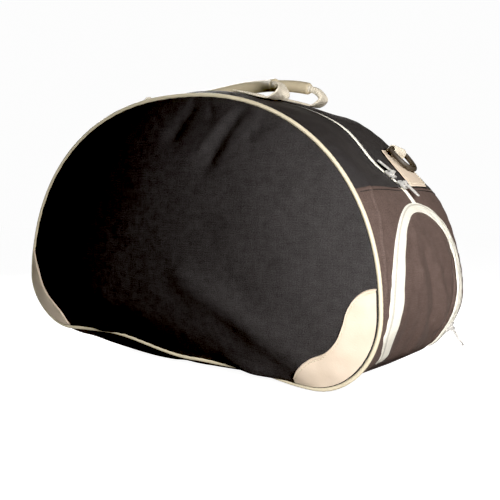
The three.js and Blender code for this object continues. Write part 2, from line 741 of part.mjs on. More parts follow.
// A D-shaped ring whose straight bar lies on the hinge line, reaching along +x and dropped to the tab.
function makeRing(dropDeg) {
  const half = RING_HALF_WIDTH;
  const tip = RING_TIP_SHARE * RING_HALF_WIDTH;
  const shoulder = RING_SHOULDER_SHARE * RING_REACH;
  const path = new THREE.Path();
  path.moveTo(0, RING_BEND - half);
  path.lineTo(0, half - RING_BEND);
  path.quadraticCurveTo(0, half, RING_BEND, half);
  path.bezierCurveTo(shoulder, half, RING_REACH, tip, RING_REACH, 0);
  path.bezierCurveTo(RING_REACH, -tip, shoulder, -half, RING_BEND, -half);
  path.quadraticCurveTo(0, -half, 0, RING_BEND - half);
  const sections = spread(0, RING_STEPS - 1, RING_STEPS - 1).map((i) => {
    const middle = path.getPointAt(i / RING_STEPS);
    const tangent = path.getTangentAt(i / RING_STEPS);
    return spread(0, RING_SIDES - 1, RING_SIDES - 1).map((j) => {
      const angle = (j * 2 * Math.PI) / RING_SIDES;
      const aside = RING_RADIUS * Math.cos(angle);
      const up = RING_RADIUS * Math.sin(angle);
      return new THREE.Vector3(middle.x + aside * tangent.y, middle.y - aside * tangent.x, up);
    });
  });
  return loft(sections, true).rotateY(THREE.MathUtils.degToRad(dropDeg)).translate(0, 0, LOOP_LEVEL);
}

function makeSlider() {
  const bodyMiddle = SLIDER_FLOOR + SLIDER.thickness / 2;
  const body = new THREE.BoxGeometry(SLIDER.length, SLIDER.width, SLIDER.thickness);
  body.translate(0, 0, bodyMiddle);
  const lugHeight = LUG.top - bodyMiddle;
  const lugMiddle = bodyMiddle + lugHeight / 2;
  const lugs = [-1, 1].map((side) => {
    const lug = new THREE.BoxGeometry(LUG.length, LUG.width, lugHeight);
    return lug.translate(0, side * LUG.offset, lugMiddle);
  });
  const pin = new THREE.CylinderGeometry(PIN_RADIUS, PIN_RADIUS, 2 * LUG.offset, PIN_SIDES);
  pin.translate(0, 0, PIN_LEVEL);
  const pieces = [body, ...lugs, pin].map(toManifold);
  return fromManifold(pieces.reduce((joined, piece) => joined.add(piece)));
}

// A pull reaching along +x from its eye on the pin, raised by "liftDeg" out of the tape's plane.
function makePull(liftDeg) {
  const half = PULL.thickness / 2;
  const meet = Math.asin(half / EYE_RADIUS);
  const side = new THREE.Shape();
  side.moveTo(PULL.length, -half);
  side.lineTo(PULL.length, half);
  side.absarc(0, 0, EYE_RADIUS, meet, 2 * Math.PI - meet);
  side.holes.push(new THREE.Path().absarc(0, 0, EYE_BORE, 0, 2 * Math.PI, true));
  const pull = extrudeAcross(side, PULL.width, EYE_CURVE_STEPS);
  return pull.rotateY(-THREE.MathUtils.degToRad(liftDeg)).translate(0, 0, PIN_LEVEL);
}

// Assembly
const bag = new THREE.Group();

function addPiece(group, name, geometry, material) {
  const mesh = new THREE.Mesh(geometry, material);
  mesh.name = name;
  group.add(mesh);
}

function fittingGroup(frame) {
  const group = new THREE.Group();
  group.position.copy(frame.origin);
  group.quaternion.setFromRotationMatrix(frame.turn);
  bag.add(group);
  return group;
}

const rightEnd = makeRightEnd();
addPiece(bag, "front_panel", makeFace(-1), MATERIALS.cloth);
addPiece(bag, "back_panel", makeFace(1), MATERIALS.cloth);
addPiece(bag, "bottom_panel", makeBase(), MATERIALS.cloth);
addPiece(bag, "top_gusset_front", makeTopGusset(-1), MATERIALS.cloth);
addPiece(bag, "top_gusset_back", makeTopGusset(1), MATERIALS.cloth);
addPiece(bag, "main_zip", makeMainZip(), MATERIALS.tape);
addPiece(bag, "right_end_panel", rightEnd.panel, MATERIALS.cloth);
addPiece(bag, "pocket_zip", rightEnd.tape, MATERIALS.tape);
addPiece(bag, "pocket_panel", rightEnd.flap, MATERIALS.cloth);
addPiece(bag, "left_end_panel", makeEndSheet(-1), MATERIALS.cloth);
addPiece(bag, "front_piping", makePiping(-1), MATERIALS.piping);
addPiece(bag, "back_piping", makePiping(1), MATERIALS.piping);
addPiece(bag, "corner_patch_right", makeCornerPatch(1), MATERIALS.leatherette);
addPiece(bag, "corner_patch_left", makeCornerPatch(-1), MATERIALS.leatherette);

for (const handle of HANDLES) {
  const curve = handleCurve(handle);
  const grip = gripShares(curve, handle.gripHalfLength);
  addPiece(bag, `${handle.name}_strap`, makeStrap(curve, grip), MATERIALS.webbing);
  addPiece(bag, `${handle.name}_grip`, makeGrip(curve, grip), MATERIALS.leatherette);
}

for (const { side, sense, dropDeg } of RINGS) {
  addPiece(bag, `ring_tab_${side}`, makeTab(sense), MATERIALS.leatherette);
  const group = fittingGroup(fittingFrame(sense * LOOP_STATION, loopDepth, -sense));
  addPiece(group, `ring_loop_${side}`, makeLoop(), MATERIALS.webbing);
  addPiece(group, `d_ring_${side}`, makeRing(dropDeg), MATERIALS.black);
}

for (const { zip, mark, station, depthAt, sense, seat, liftDeg } of SLIDERS) {
  const group = fittingGroup(fittingFrame(station, depthAt, sense, seat));
  addPiece(group, `${zip}_slider${mark}`, makeSlider(), MATERIALS.steel);
  addPiece(group, `${zip}_puller${mark}`, makePull(liftDeg), MATERIALS.steel);
}

export default bag;
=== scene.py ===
import math

import bpy
import numpy as np
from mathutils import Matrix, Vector


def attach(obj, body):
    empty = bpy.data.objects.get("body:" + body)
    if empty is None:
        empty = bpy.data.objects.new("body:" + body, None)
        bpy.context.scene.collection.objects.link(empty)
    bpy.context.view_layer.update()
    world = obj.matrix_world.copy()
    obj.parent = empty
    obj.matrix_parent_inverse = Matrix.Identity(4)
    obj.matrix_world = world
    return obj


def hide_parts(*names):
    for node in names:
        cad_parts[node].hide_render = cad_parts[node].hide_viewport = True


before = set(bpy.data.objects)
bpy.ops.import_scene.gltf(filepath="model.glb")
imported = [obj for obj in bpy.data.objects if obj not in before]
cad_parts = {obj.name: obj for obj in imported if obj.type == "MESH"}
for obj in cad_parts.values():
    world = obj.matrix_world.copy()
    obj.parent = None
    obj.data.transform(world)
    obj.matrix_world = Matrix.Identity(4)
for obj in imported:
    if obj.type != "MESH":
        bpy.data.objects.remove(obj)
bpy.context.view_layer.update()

MM = 0.001
BAG_MIDDLE = np.array([0.0, 0.0, 130.0])
FLOOR_GAP = 0.05

# Seam outline: a flat base, two rounded corners and an arch
HALF_LENGTH = 250.0
WIDEST_LEVEL = 82.0
ARCH_RISE = 229.0
ARCH_POWER = 2.2
CORNER_RUN = 72.0
HALF_DEPTH = 105.0
SHARE_BASE = 0.26
SHARE_CORNER = 0.18
OUTLINE_SAMPLES = 6000
SLOPE_STEP = 1e-4
BASE_END = HALF_LENGTH - CORNER_RUN
END_SEAM = 428.0

# The back seam off the front one: station, shift outwards, reach
SEAM_SHIFTS = ((480, -9, 55), (300, 3, 55))

# Swell of the gusset: level, swell
GUSSET_SWELL = ((0, 0), (30, 6), (95, 12), (190, 11), (265, 5), (311, 3))
SWELL_POWER = 4

# Humps and dents of the gusset: station, depth, rise, reach along, reach across
GUSSET_DENTS = (
    (676, 0, 8, 62, 260),
    (466, -16, -9, 40, 46),
    (892, 4, -6, 46, 50),
    (262, 70, 6, 45, 60),
)

# Rise of the base off the floor: place along the length, lift
LIFT_FRONT = ((-250, 34), (-120, 36), (20, 17), (80, 15), (180, 3.5))
LIFT_MIDDLE = ((-250, 22), (-50, 0), (150, 0), (250, 16))
LIFT_BACK = ((-250, 26), (-30, 9), (130, 9), (250, 26))
LIFT_FADE_LEVEL = 150.0
FLAT_SHARE = 0.45

# Puffed faces, and folds of the front one: from x, from z, to x, to z, rise, half width
FRONT_PUFF = 35.0
BACK_PUFF = 30.0
PUFF_LEVEL = 125.0
PUFF_POWER = 3.2
FRONT_FOLDS = (
    (92, 296, 56, 236, -6, 15),
    (28, 300, 6, 266, -4, 14),
    (126, 282, 104, 262, -3.5, 14),
    (36, 107, 160, 30, 5, 18),
)

# Sharp creases of the front cloth: from x, from z, to x, to z, rise, half width
FRONT_CREASES = (
    (94, 298, 62, 240, -2.8, 8),
    (84, 300, 48, 250, 1.6, 6),
    (28, 302, 8, 268, -2.2, 8),
    (128, 284, 106, 262, -1.9, 7),
    (44, 304, 54, 284, -1.4, 5),
    (170, 214, 140, 176, 1.0, 8),
)

# Where the cloth of the front face sags over its seam: x, drop, reach
FRONT_SAGS = ((104, 8, 34), (-116, 5, 20))
SAG_SHARE = 0.06
SAG_FORWARDS = 0.5

# Slow waves of the cloth: waves per metre along, waves per metre across, phase, height
CLOTH_WAVES = (
    (7.0, 3.1, 0.4, 0.50),
    (-5.2, 8.3, 1.9, 0.45),
    (13.1, -6.7, 3.3, 0.28),
    (4.4, 17.9, 5.1, 0.24),
    (21.0, 12.5, 0.9, 0.16),
)
SIDE_PHASE = 40.0

# Puckers along the seams, and the drift of their pitch: swing, length
PUCKER_HEIGHT = 0.45
PUCKER_PITCH = 17.0
PUCKER_REACH = 11.0
PUCKER_START = 2.0
PUCKER_DRIFT = ((1.7, 61), (0.9, 23))
FACE_RADIUS = 190.0

# Piping: full and drawn radius, twist, and how far each cord sinks in its seam and moves out on its face
PIPING_RADIUS = 2.6
PIPING_SHOWN = 2.3
PIPING_TWIST = 0.04
PIPING_TWIST_PITCH = 6.3
PIPING_TWIST_DRIFT = 41.0
FRONT_PIPING_SEAT = (0.0, 0.0)
BACK_PIPING_SEAT = (3.0, 1.8)
SEAM_TUCK = 0.8

# Main zip: place, shown half width by station, coil
ZIP_DEPTH = 3.0
ZIP_WANDER = 1.5
ZIP_WANDER_LENGTH = 160.0
ZIP_START = 405.0
ZIP_SHOWN = ((405, 4.5), (440, 4.2), (490, 4.4), (530, 6.5), (580, 7.5), (640, 6.5), (760, 4.6), (940, 4.0))
ZIP_SINK = 0.7
ZIP_COLUMNS = (0.25, 0.8, 1.2, 1.5, 1.9, 3.0, 5.0, 7.0, 9.0)
COIL_HALF_WIDTH = 1.5
COIL_RISE = 0.9
COIL_PITCH = 1.7
COIL_VALLEY = 0.62

# Pocket arches on the right end: half width and height; how far the legs lean in and between which levels
POCKET_OUTER = (97.0, 192.0)
POCKET_INNER = (79.0, 182.0)
POCKET_BACK_LEAN = (28.0, 60.0, 150.0)
POCKET_FRONT_LEAN = (20.0, 25.0, 65.0)
POCKET_FOOT = 30.0

# Pocket tape: shares of its width and heights at both edges, waves, the line beside its coil, the coil,
# and how much wider its front leg is
TAPE_INNER_EDGE = ((0, -1.2), (0.02, -0.2), (0.05, 0.3))
TAPE_OUTER_EDGE = ((0.95, 0.5), (0.98, 0.2), (1.0, -1.0))
TAPE_OUT = 0.5
TAPE_WAVE = 0.25
TAPE_WAVE_LENGTH = 31.0
TAPE_LINE = (0.5, 0.88, 0.03)
POCKET_COIL_SHARE = 0.76
POCKET_COIL_OUT = 0.2
POCKET_COIL_COLUMNS = (-1.3, -1.0, -0.7, -0.3, 0.0, 0.3, 0.7, 1.0, 1.3)
POCKET_TAPE_SPREAD = 4.5

# Pocket cloth: tuck behind the tape, drop of its edge, waves, and its shallow hollow on the right
POCKET_TUCK = 2.5
POCKET_EDGE_DROP = 1.3
POCKET_WAVE = 1.6
HOLLOW_DEPTH = 5.0

# Slack folds of the pocket's cloth: from depth, from level, to depth, to level, rise, half width
POCKET_FOLDS = (
    (-34, 120, -10, 40, 3.0, 9),
    (-12, 140, 4, 70, -2.6, 7),
    (-58, 90, -46, 30, -2.0, 10),
    (14, 120, 26, 60, 2.6, 8),
    (2, 70, 30, 24, -2.2, 8),
    (-30, 165, -40, 110, 1.6, 8),
)

# Leatherette corners: the free edge of each from its top, distance from the middle and level
RIGHT_PATCH_EDGE = (
    (246, 109), (240, 108.5), (232, 104.5), (224.5, 96.5), (219, 85), (216, 72),
    (209, 55), (197, 42), (181, 34), (168, 23), (157, 9),
)
LEFT_PATCH_EDGE = (
    (246, 131), (236, 112), (225, 91), (218, 73), (208, 53), (192, 34), (182, 21), (178, 6),
)

# The corners by node, sense, lowest and highest station of the seam, and free edge
PATCHES = (
    ("corner_patch_right", 1, 155.0, 326.0, RIGHT_PATCH_EDGE),
    ("corner_patch_left", -1, 178.0, 348.0, LEFT_PATCH_EDGE),
)
PATCH_OUT = 2.0
PATCH_FOOT = 0.3
PATCH_INSET = 2.8
PATCH_LENGTH = 170.0
PATCH_SWELL = 0.5
PATCH_CREASES = ((184, 38, 194, 10, -0.5, 12), (222, 84, 232, 60, -0.5, 12))
PATCH_STITCH_INSET = 4.0

# Bead and groove along a corner's edge: rise, place, half width
PATCH_BEAD = ((0.5, 1.6, 1.1), (-0.35, 4, 1.0))

# Handles: flat and rolled webbing, grips and sewn tails
STRAP_HALF_WIDTH = 12.5
STRAP_HALF_THICKNESS = 1.0
ROLLED_HALF_WIDTH = 6.0
ROLLED_HALF_THICKNESS = 3.6
STRAP_RIB_PITCH = 3.2
STRAP_RIB_RISE = 0.45
STRAP_RIB_SINK = 0.15
GRIP_RADIUS = 7.0
GRIP_CORE = 1.2
GRIP_NOSE = 4.5
GRIP_SEAM_TURN = 1.5 * np.pi
GRIP_SEAM = ((0.5, 0.16), (-0.35, 0.5))
GRIP_FULLNESS = 0.22
GRIP_FULLNESS_LENGTH = 9.0
GRIP_FULLNESS_PHASE = 0.6
TAIL_X = (40, 50.7, 61.3, 72)
TAIL_OUT = 1.7
TAIL_STITCH_X = (44, 69)
TAIL_STITCH_INSET = 2.5
TAIL_STITCH_OUT = 2.8
ROLL_FROM = 0.02
ROLL_TO = 0.1

# The free route of each handle from its bend to the middle: x, depth, level, drop of the left half
FRONT_ROUTE = (
    (87, -47, 308.5, 0),
    (96, -43, 314.5, 2),
    (89, -35, 322, 5),
    (74, -20, 327, 7),
    (40, 2, 331, 5.5),
    (0, 8, 331, 0),
)
BACK_ROUTE = (
    (88, 47.5, 308.5, 0),
    (98, 46.5, 315.5, 2),
    (92, 45, 324.5, 5),
    (75, 44, 330.5, 6.5),
    (40, 43, 336, 6),
    (0, 42, 336.5, 0),
)

# The handles by name, depth of the sewn tails, half length of the grip and route
HANDLES = (("front_handle", -48.0, 74.0, FRONT_ROUTE), ("back_handle", 48.0, 88.0, BACK_ROUTE))

# Strap rings: tab, webbing loop and ring
TAB_FROM = 429.0
TAB_TO = 491.0
TAB_DEPTH = 62.0
TAB_SLANT = 0.36
TAB_HALF_WIDTH = 23.5
TAB_OUT = 1.8
TAB_HALF_THICKNESS = 0.7
TAB_TAPER = 1.5
TAB_GROOVE = (0.25, 0.86, 0.035)
TAB_LEAST_ROLL = 0.02
TAB_STITCH_SPAN = (TAB_FROM + 4, TAB_TO - 16)
TAB_STITCH_HALF_WIDTH = TAB_HALF_WIDTH - 3.4
TAB_STITCH_OUT = TAB_OUT + 0.05
TAB_CLEARANCE = (2.0, 12.0)
LOOP_STATION = 482.0
LOOP_SLANT = 0.18
LOOP_HALF_WIDTH = 13.0
LOOP_RADIUS = 5.6
LOOP_BORE = 3.6
LOOP_FOOT = 2.4
LOOP_LEVEL = LOOP_FOOT + LOOP_RADIUS
LOOP_RIB_RISE = 0.12
RING_RADIUS = 2.9
RING_HALF_WIDTH = 18.0
RING_REACH = 30.0
RING_BEND = 5.0
RING_TIP = 0.6 * RING_HALF_WIDTH
RING_SHOULDER = 0.7 * RING_REACH
RING_STEP = 1.2

# The rings by side, sense and how far each hangs down in degrees
RINGS = (("right", 1, 4.5), ("left", -1, 5.0))

# Zip pulls: pin, rolled eye, plate with a slot, and the plate's section as shares across and of its thickness
PIN_LEVEL = 5.8
EYE_RADIUS = 1.9
EYE_BORE = 1.15
PULL_HALF_WIDTH = 2.2
PULL_HALF_THICKNESS = 0.65
PULL_LENGTH = 22.0
PULL_SECTION = (
    (0.0, -0.5), (0.0, 0.5), (0.1, 1.0), (0.9, 1.0), (1.0, 0.5), (1.0, -0.5), (0.9, -1.0), (0.1, -1.0),
)

# The pulls by node, body, station, sense, seat and lift in degrees
PULLS = (
    ("main_puller_a", "pull_a", 447.0, 1, 0.0, 0.0),
    ("main_puller_b", "pull_b", 430.0, -1, 0.0, 0.0),
    ("pocket_puller", "pocket_pull", 262.0, -1, -0.9, 66.0),
)
SLIDERS = ("main_slider_a", "main_slider_b", "pocket_slider")

# Stitches: shares along each, and its half width and height there in radii of the thread
STITCH_PITCH = 3.6
STITCH_RADIUS = 0.42
STITCH_SHAPE = (
    (0.12, 0.5, -1.0),
    (0.25, 1.0, 0.35),
    (0.5, 1.05, 0.6),
    (0.75, 1.0, 0.35),
    (0.88, 0.5, -1.0),
)

# Rows of black stitches: along the zip, and under the end seam on each side of the zip
ZIP_ROW_ASIDE = 4.4
ZIP_ROW_ENDS = 3.0
END_ROW_STATION = END_SEAM - 4.5
END_ROWS = ((-98, -6), (12, 98))
BLACK_ROW_OUT = 0.3


# Surfaces of the sewn shell
def smooth(share):
    share = np.clip(share, 0, 1)
    return share * share * (3 - 2 * share)


def ramp(value, start, end):
    return smooth((value - start) / (end - start))


def bell(offset, reach):
    return np.exp(-((offset / reach) ** 2))


def read_table(rows, at):
    ats, values = np.array(rows, float).T
    at = np.clip(at, ats[0], ats[-1])
    i = np.clip(np.searchsorted(ats, at, side="right") - 1, 0, len(ats) - 2)
    share = smooth((at - ats[i]) / (ats[i + 1] - ats[i]))
    return values[i] + (values[i + 1] - values[i]) * share


def outline_by_share(t):
    side = np.where(t <= 0.5, 1.0, -1.0)
    walk = np.where(t <= 0.5, 2 * t, 2 - 2 * t)
    turn = np.clip((walk - SHARE_BASE) / SHARE_CORNER, 0, 1) * np.pi / 2
    rest = 1 - SHARE_BASE - SHARE_CORNER
    climb = np.clip((walk - SHARE_BASE - SHARE_CORNER) / rest, 0, 1) * np.pi / 2
    arch_x = HALF_LENGTH * np.maximum(np.cos(climb), 0) ** (2 / ARCH_POWER)
    arch_z = WIDEST_LEVEL + ARCH_RISE * np.sin(climb) ** (2 / ARCH_POWER)
    on_base = walk < SHARE_BASE
    on_corner = walk < SHARE_BASE + SHARE_CORNER
    corner_x = BASE_END + CORNER_RUN * np.sin(turn)
    corner_z = WIDEST_LEVEL * (1 - np.cos(turn))
    x = np.where(on_base, BASE_END * walk / SHARE_BASE, np.where(on_corner, corner_x, arch_x))
    z = np.where(on_base, 0, np.where(on_corner, corner_z, arch_z))
    return side * x, z


SHARES = np.linspace(0, 1, OUTLINE_SAMPLES + 1)
RIM_X, RIM_Z = outline_by_share(SHARES)
STATIONS = np.concatenate([[0], np.cumsum(np.hypot(np.diff(RIM_X), np.diff(RIM_Z)))])
LENGTH = STATIONS[-1]
BASE_SEAM = LENGTH / 6


def outline_at(station, depth=-HALF_DEPTH):
    around = np.mod(station, LENGTH)
    t = np.interp(around, STATIONS, SHARES)
    x, z = outline_by_share(t)
    ahead = outline_by_share(np.minimum(t + SLOPE_STEP, 1))
    behind = outline_by_share(np.maximum(t - SLOPE_STEP, 0))
    run, rise = ahead[0] - behind[0], ahead[1] - behind[1]
    size = np.hypot(run, rise)
    normal_x, normal_z = rise / size, -run / size
    shift = sum(push * bell(around - at, reach) for at, push, reach in SEAM_SHIFTS)
    shift = shift * smooth((depth / HALF_DEPTH + 1) / 2)
    return x + shift * normal_x, z + shift * normal_z, normal_x, normal_z


# The seam's line in the plane of a face, moved inwards
def seam_line(stations, depth, inset):
    x, z, normal_x, normal_z = outline_at(stations, depth)
    return np.stack([x - inset * normal_x, z - inset * normal_z], -1)


def base_lift(x, depth, level):
    edge = np.maximum(0, (np.abs(depth) / HALF_DEPTH - FLAT_SHARE) / (1 - FLAT_SHARE)) ** 2
    middle = read_table(LIFT_MIDDLE, x)
    seam = np.where(depth < 0, read_table(LIFT_FRONT, x), read_table(LIFT_BACK, x))
    fade = 1 - smooth(level / LIFT_FADE_LEVEL)
    return (middle + (seam - middle) * np.minimum(edge, 1)) * fade


def gusset_swell(station, depth, level):
    around = np.mod(station, LENGTH)
    total = read_table(GUSSET_SWELL, level)
    for at, across_at, rise, along, across in GUSSET_DENTS:
        total = total + rise * np.exp(-(((around - at) / along) ** 2) - ((depth - across_at) / across) ** 2)
    return total * (1 - np.minimum(1, np.abs(depth) / HALF_DEPTH) ** SWELL_POWER)


def gusset_point(station, depth, out=0.0):
    station, depth, out = np.broadcast_arrays(np.asarray(station, float), np.asarray(depth, float), out)
    x, z, normal_x, normal_z = outline_at(station, depth)
    offset = gusset_swell(station, depth, z) + out
    lift = base_lift(x, depth, z)
    return np.stack([x + normal_x * offset, depth, z + lift + normal_z * offset], -1)


def main_zip_depth(station):
    return ZIP_DEPTH + ZIP_WANDER * np.sin(2 * np.pi * np.asarray(station, float) / ZIP_WANDER_LENGTH)


def pocket_lean(lean, level):
    drawn, low, high = lean
    return drawn * (1 - ramp(level, low, high))


def pocket_depth(upright, level, share=1.0):
    lean = np.where(upright > 0, pocket_lean(POCKET_BACK_LEAN, level), pocket_lean(POCKET_FRONT_LEAN, level))
    return upright - np.sign(upright) * lean * share


# The station of the right end at a depth and level, found by halving
def station_at(depth, level):
    depth, level = np.broadcast_arrays(np.asarray(depth, float), np.asarray(level, float))
    low = np.full(depth.shape, BASE_SEAM)
    high = np.full(depth.shape, END_SEAM + 40)
    for _ in range(30):
        middle = (low + high) / 2
        under = gusset_point(middle, depth)[..., 2] < level
        low = np.where(under, middle, low)
        high = np.where(under, high, middle)
    return (low + high) / 2


def end_surface(depth, level, out):
    return gusset_point(station_at(depth, level), depth, out)


def fold_height(folds, x, z):
    total = np.zeros(np.broadcast(x, z).shape)
    for x0, z0, x1, z1, rise, width in folds:
        run, climb = x1 - x0, z1 - z0
        along = np.clip(((x - x0) * run + (z - z0) * climb) / (run**2 + climb**2), 0, 1)
        apart = np.hypot(x - x0 - along * run, z - z0 - along * climb)
        total = total + rise * bell(apart, width)
    return total


def rim_radius(side, angle):
    x, z, _, _ = outline_at(STATIONS[:-1], side * HALF_DEPTH)
    rim_angle = np.arctan2(z - PUFF_LEVEL, x)
    order = np.argsort(rim_angle)
    radius = np.hypot(x, z - PUFF_LEVEL)
    return np.interp(angle, rim_angle[order], radius[order], period=2 * np.pi)


def face_share(side, x, z):
    angle = np.arctan2(z - PUFF_LEVEL, x)
    rim = rim_radius(side, angle)
    return np.minimum(1, np.hypot(x, z - PUFF_LEVEL) / rim), angle, rim


def face_point(side, x, z, out=0.0):
    share, _, _ = face_share(side, x, z)
    folds = fold_height(FRONT_FOLDS, x, z) if side < 0 else 0.0
    puff = FRONT_PUFF if side < 0 else BACK_PUFF
    y = side * (HALF_DEPTH + (puff + folds) * (1 - share**PUFF_POWER) + out)
    return np.stack([x, y, z + base_lift(x, np.full_like(x, side * HALF_DEPTH), z)], -1)


def cloth_waves(along, across):
    total = 0.0
    for waves_along, waves_across, phase, height in CLOTH_WAVES:
        turn = 2 * np.pi * MM * (waves_along * along + waves_across * across)
        total = total + height * np.sin(turn + phase)
    return total


def pucker(along, away):
    turn = 2 * np.pi * along / PUCKER_PITCH
    for swing, length in PUCKER_DRIFT:
        turn = turn + swing * np.sin(along / length)
    return PUCKER_HEIGHT * np.sin(turn) * np.exp(-away / PUCKER_REACH) * (1 - np.exp(-away / PUCKER_START))


# Meshes
def add_mesh(name, points, faces, flat):
    mesh = bpy.data.meshes.new(name)
    mesh.from_pydata((points * MM).tolist(), [], faces.tolist())
    corners = points[faces]
    diagonals = np.cross(corners[:, 2] - corners[:, 0], corners[:, 3] - corners[:, 1])
    outwards = (diagonals * (corners.mean(1) - BAG_MIDDLE)).sum()
    if outwards < 0:
        mesh.flip_normals()
    mesh.shade_smooth()
    attribute = mesh.attributes.new("flat", "FLOAT_VECTOR", "POINT")
    attribute.data.foreach_set("vector", flat.astype(np.float32).ravel())
    piece = bpy.data.objects.new(name, mesh)
    bpy.context.scene.collection.objects.link(piece)
    return piece


def grid_faces(rows, columns, round_rows=False, round_columns=False):
    index = np.arange(rows * columns).reshape(rows, columns)
    if round_rows:
        index = np.concatenate([index, index[:1]])
    if round_columns:
        index = np.concatenate([index, index[:, :1]], axis=1)
    corners = (index[:-1, :-1], index[1:, :-1], index[1:, 1:], index[:-1, 1:])
    return np.stack(corners, -1).reshape(-1, 4)


def add_grid(name, points, along, across, round_rows=False, round_columns=False):
    rows, columns = points.shape[:2]
    along, across = np.broadcast_arrays(along, across)
    flat = np.stack([along, across, np.zeros((rows, columns))], -1)
    faces = grid_faces(rows, columns, round_rows, round_columns)
    return add_mesh(name, points.reshape(-1, 3), faces, flat.reshape(-1, 3))


def dress(piece, material, body="shell", node=None):
    piece.data.materials.clear()
    piece.data.materials.append(material)
    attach(piece, body)
    if node:
        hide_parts(node)


def add_sheet(name, points, along, across, material, round_columns=False):
    piece = add_grid(name, points, along, across, round_columns=round_columns)
    dress(piece, material, node=name)
    return piece


def unit(vectors):
    return vectors / np.linalg.norm(vectors, axis=-1, keepdims=True)


def walked(points):
    return np.concatenate([[0], np.cumsum(np.linalg.norm(np.diff(points, axis=0), axis=1))])


def even_line(points, count):
    walk = walked(points)
    at = np.linspace(0, walk[-1], count)
    return np.stack([np.interp(at, walk, points[:, k]) for k in range(3)], -1), at


def spaced(points, spacing):
    count = max(2, round(walked(points)[-1] / spacing))
    return even_line(points, count + 1)[0]


def circle(sides):
    return np.arange(sides) * 2 * np.pi / sides


# Rings of directions at each place of a line, in the plane of two directions there
def rings(turn, first, second):
    return np.cos(turn)[None, :, None] * first[:, None] + np.sin(turn)[None, :, None] * second[:, None]


# A sheet's section with rounded edges: places across from -1 to 1 and shares of its half thickness,
# the top first and then the underside
def rounded_band(count):
    across = np.linspace(-1, 1, count)
    roll = np.sqrt(np.maximum(0, 1 - np.abs(across) ** 10))
    return np.concatenate([across, across[::-1][1:-1]]), np.concatenate([roll, -roll[::-1][1:-1]])


# Stitches
def stitch_geometry(points, outs):
    start = points[:-1]
    along = points[1:] - start
    out = unit(outs[:-1] + outs[1:])
    side = unit(np.cross(out, along))
    share, width, rise = np.array(STITCH_SHAPE).T
    lifts = (STITCH_RADIUS * rise)[None, :, None] * out[:, None]
    middle = start[:, None] + share[None, :, None] * along[:, None] + lifts
    ring = rings(circle(6), side, out)[:, None]
    return middle[:, :, None] + (STITCH_RADIUS * width)[None, :, None, None] * ring


def add_stitches(name, rows, material):
    shells = np.concatenate([stitch_geometry(points, outs) for points, outs in rows])
    count, steps, sides = shells.shape[:3]
    one = grid_faces(steps, sides, round_columns=True)
    faces = (np.arange(count)[:, None, None] * steps * sides + one[None]).reshape(-1, 4)
    points = shells.reshape(-1, 3)
    dress(add_mesh(name, points, faces, points), material)


def gusset_row(stations, depths, out):
    points = spaced(gusset_point(stations, depths, out), STITCH_PITCH)
    lifted = spaced(gusset_point(stations, depths, out + 1), STITCH_PITCH)
    count = min(len(points), len(lifted))
    return points[:count], unit(lifted[:count] - points[:count])


# Materials
class Finish:
    """One procedural material, put together node by node."""

    def __init__(self, name, roughness, metallic=0.0):
        self.material = bpy.data.materials.new(name)
        self.material.use_nodes = True
        self.tree = self.material.node_tree
        self.shader = self.tree.nodes["Principled BSDF"]
        self.shader.inputs["Roughness"].default_value = roughness
        self.shader.inputs["Metallic"].default_value = metallic
        attribute = self.tree.nodes.new("ShaderNodeAttribute")
        attribute.attribute_name = "flat"
        self.flat = attribute.outputs["Vector"]

    def node(self, kind, *inputs, **settings):
        node = self.tree.nodes.new(kind)
        for key, value in settings.items():
            setattr(node, key, value)
        for i, value in enumerate(inputs):
            self.feed(node.inputs[i], value)
        return node

    def feed(self, socket, value):
        if isinstance(value, bpy.types.NodeSocket):
            self.tree.links.new(value, socket)
        elif value is not None:
            socket.default_value = value

    def math(self, operation, a, b=None):
        return self.node("ShaderNodeMath", a, b, operation=operation).outputs[0]

    def blended(self, *weighted, offset):
        total = offset
        for value, weight in weighted:
            total = self.node("ShaderNodeMath", value, weight, total, operation="MULTIPLY_ADD").outputs[0]
        return total

    def scaled(self, factors):
        return self.node("ShaderNodeVectorMath", self.flat, factors, operation="MULTIPLY").outputs[0]

    def noise(self, factors, detail=2.0):
        node = self.node("ShaderNodeTexNoise", self.scaled(factors))
        node.inputs["Scale"].default_value = 1.0
        node.inputs["Detail"].default_value = detail
        return node.outputs["Fac"]

    def ripple(self, factors):
        parts = self.node("ShaderNodeSeparateXYZ", self.scaled(factors))
        total = self.math("ADD", parts.outputs[0], parts.outputs[1])
        return self.math("SINE", total)

    def woven(self, pitch_along, pitch_across):
        along = self.ripple((2 * math.pi / pitch_along, 0, 0))
        return self.math("MULTIPLY", along, self.ripple((0, 2 * math.pi / pitch_across, 0)))

    def twill(self, pitch):
        return self.ripple((2 * math.pi / pitch, 2 * math.pi / pitch, 0))

    def cells(self, factors):
        node = self.node("ShaderNodeTexVoronoi", self.scaled(factors))
        node.inputs["Scale"].default_value = 1.0
        return node.outputs["Distance"]

    def tint(self, share, dark, light):
        mix = self.node("ShaderNodeMix", data_type="RGBA")
        self.feed(mix.inputs["Factor"], share)
        mix.inputs[6].default_value = (*dark, 1)
        mix.inputs[7].default_value = (*light, 1)
        self.feed(self.shader.inputs["Base Color"], mix.outputs[2])

    def bump(self, height, depth, strength):
        node = self.node("ShaderNodeBump")
        node.inputs["Strength"].default_value = strength
        node.inputs["Distance"].default_value = depth * MM
        self.feed(node.inputs["Height"], height)
        self.feed(self.shader.inputs["Normal"], node.outputs["Normal"])

    def sheen(self, weight, tint):
        self.shader.inputs["Sheen Weight"].default_value = weight
        self.shader.inputs["Sheen Roughness"].default_value = 0.5
        self.shader.inputs["Sheen Tint"].default_value = (*tint, 1)


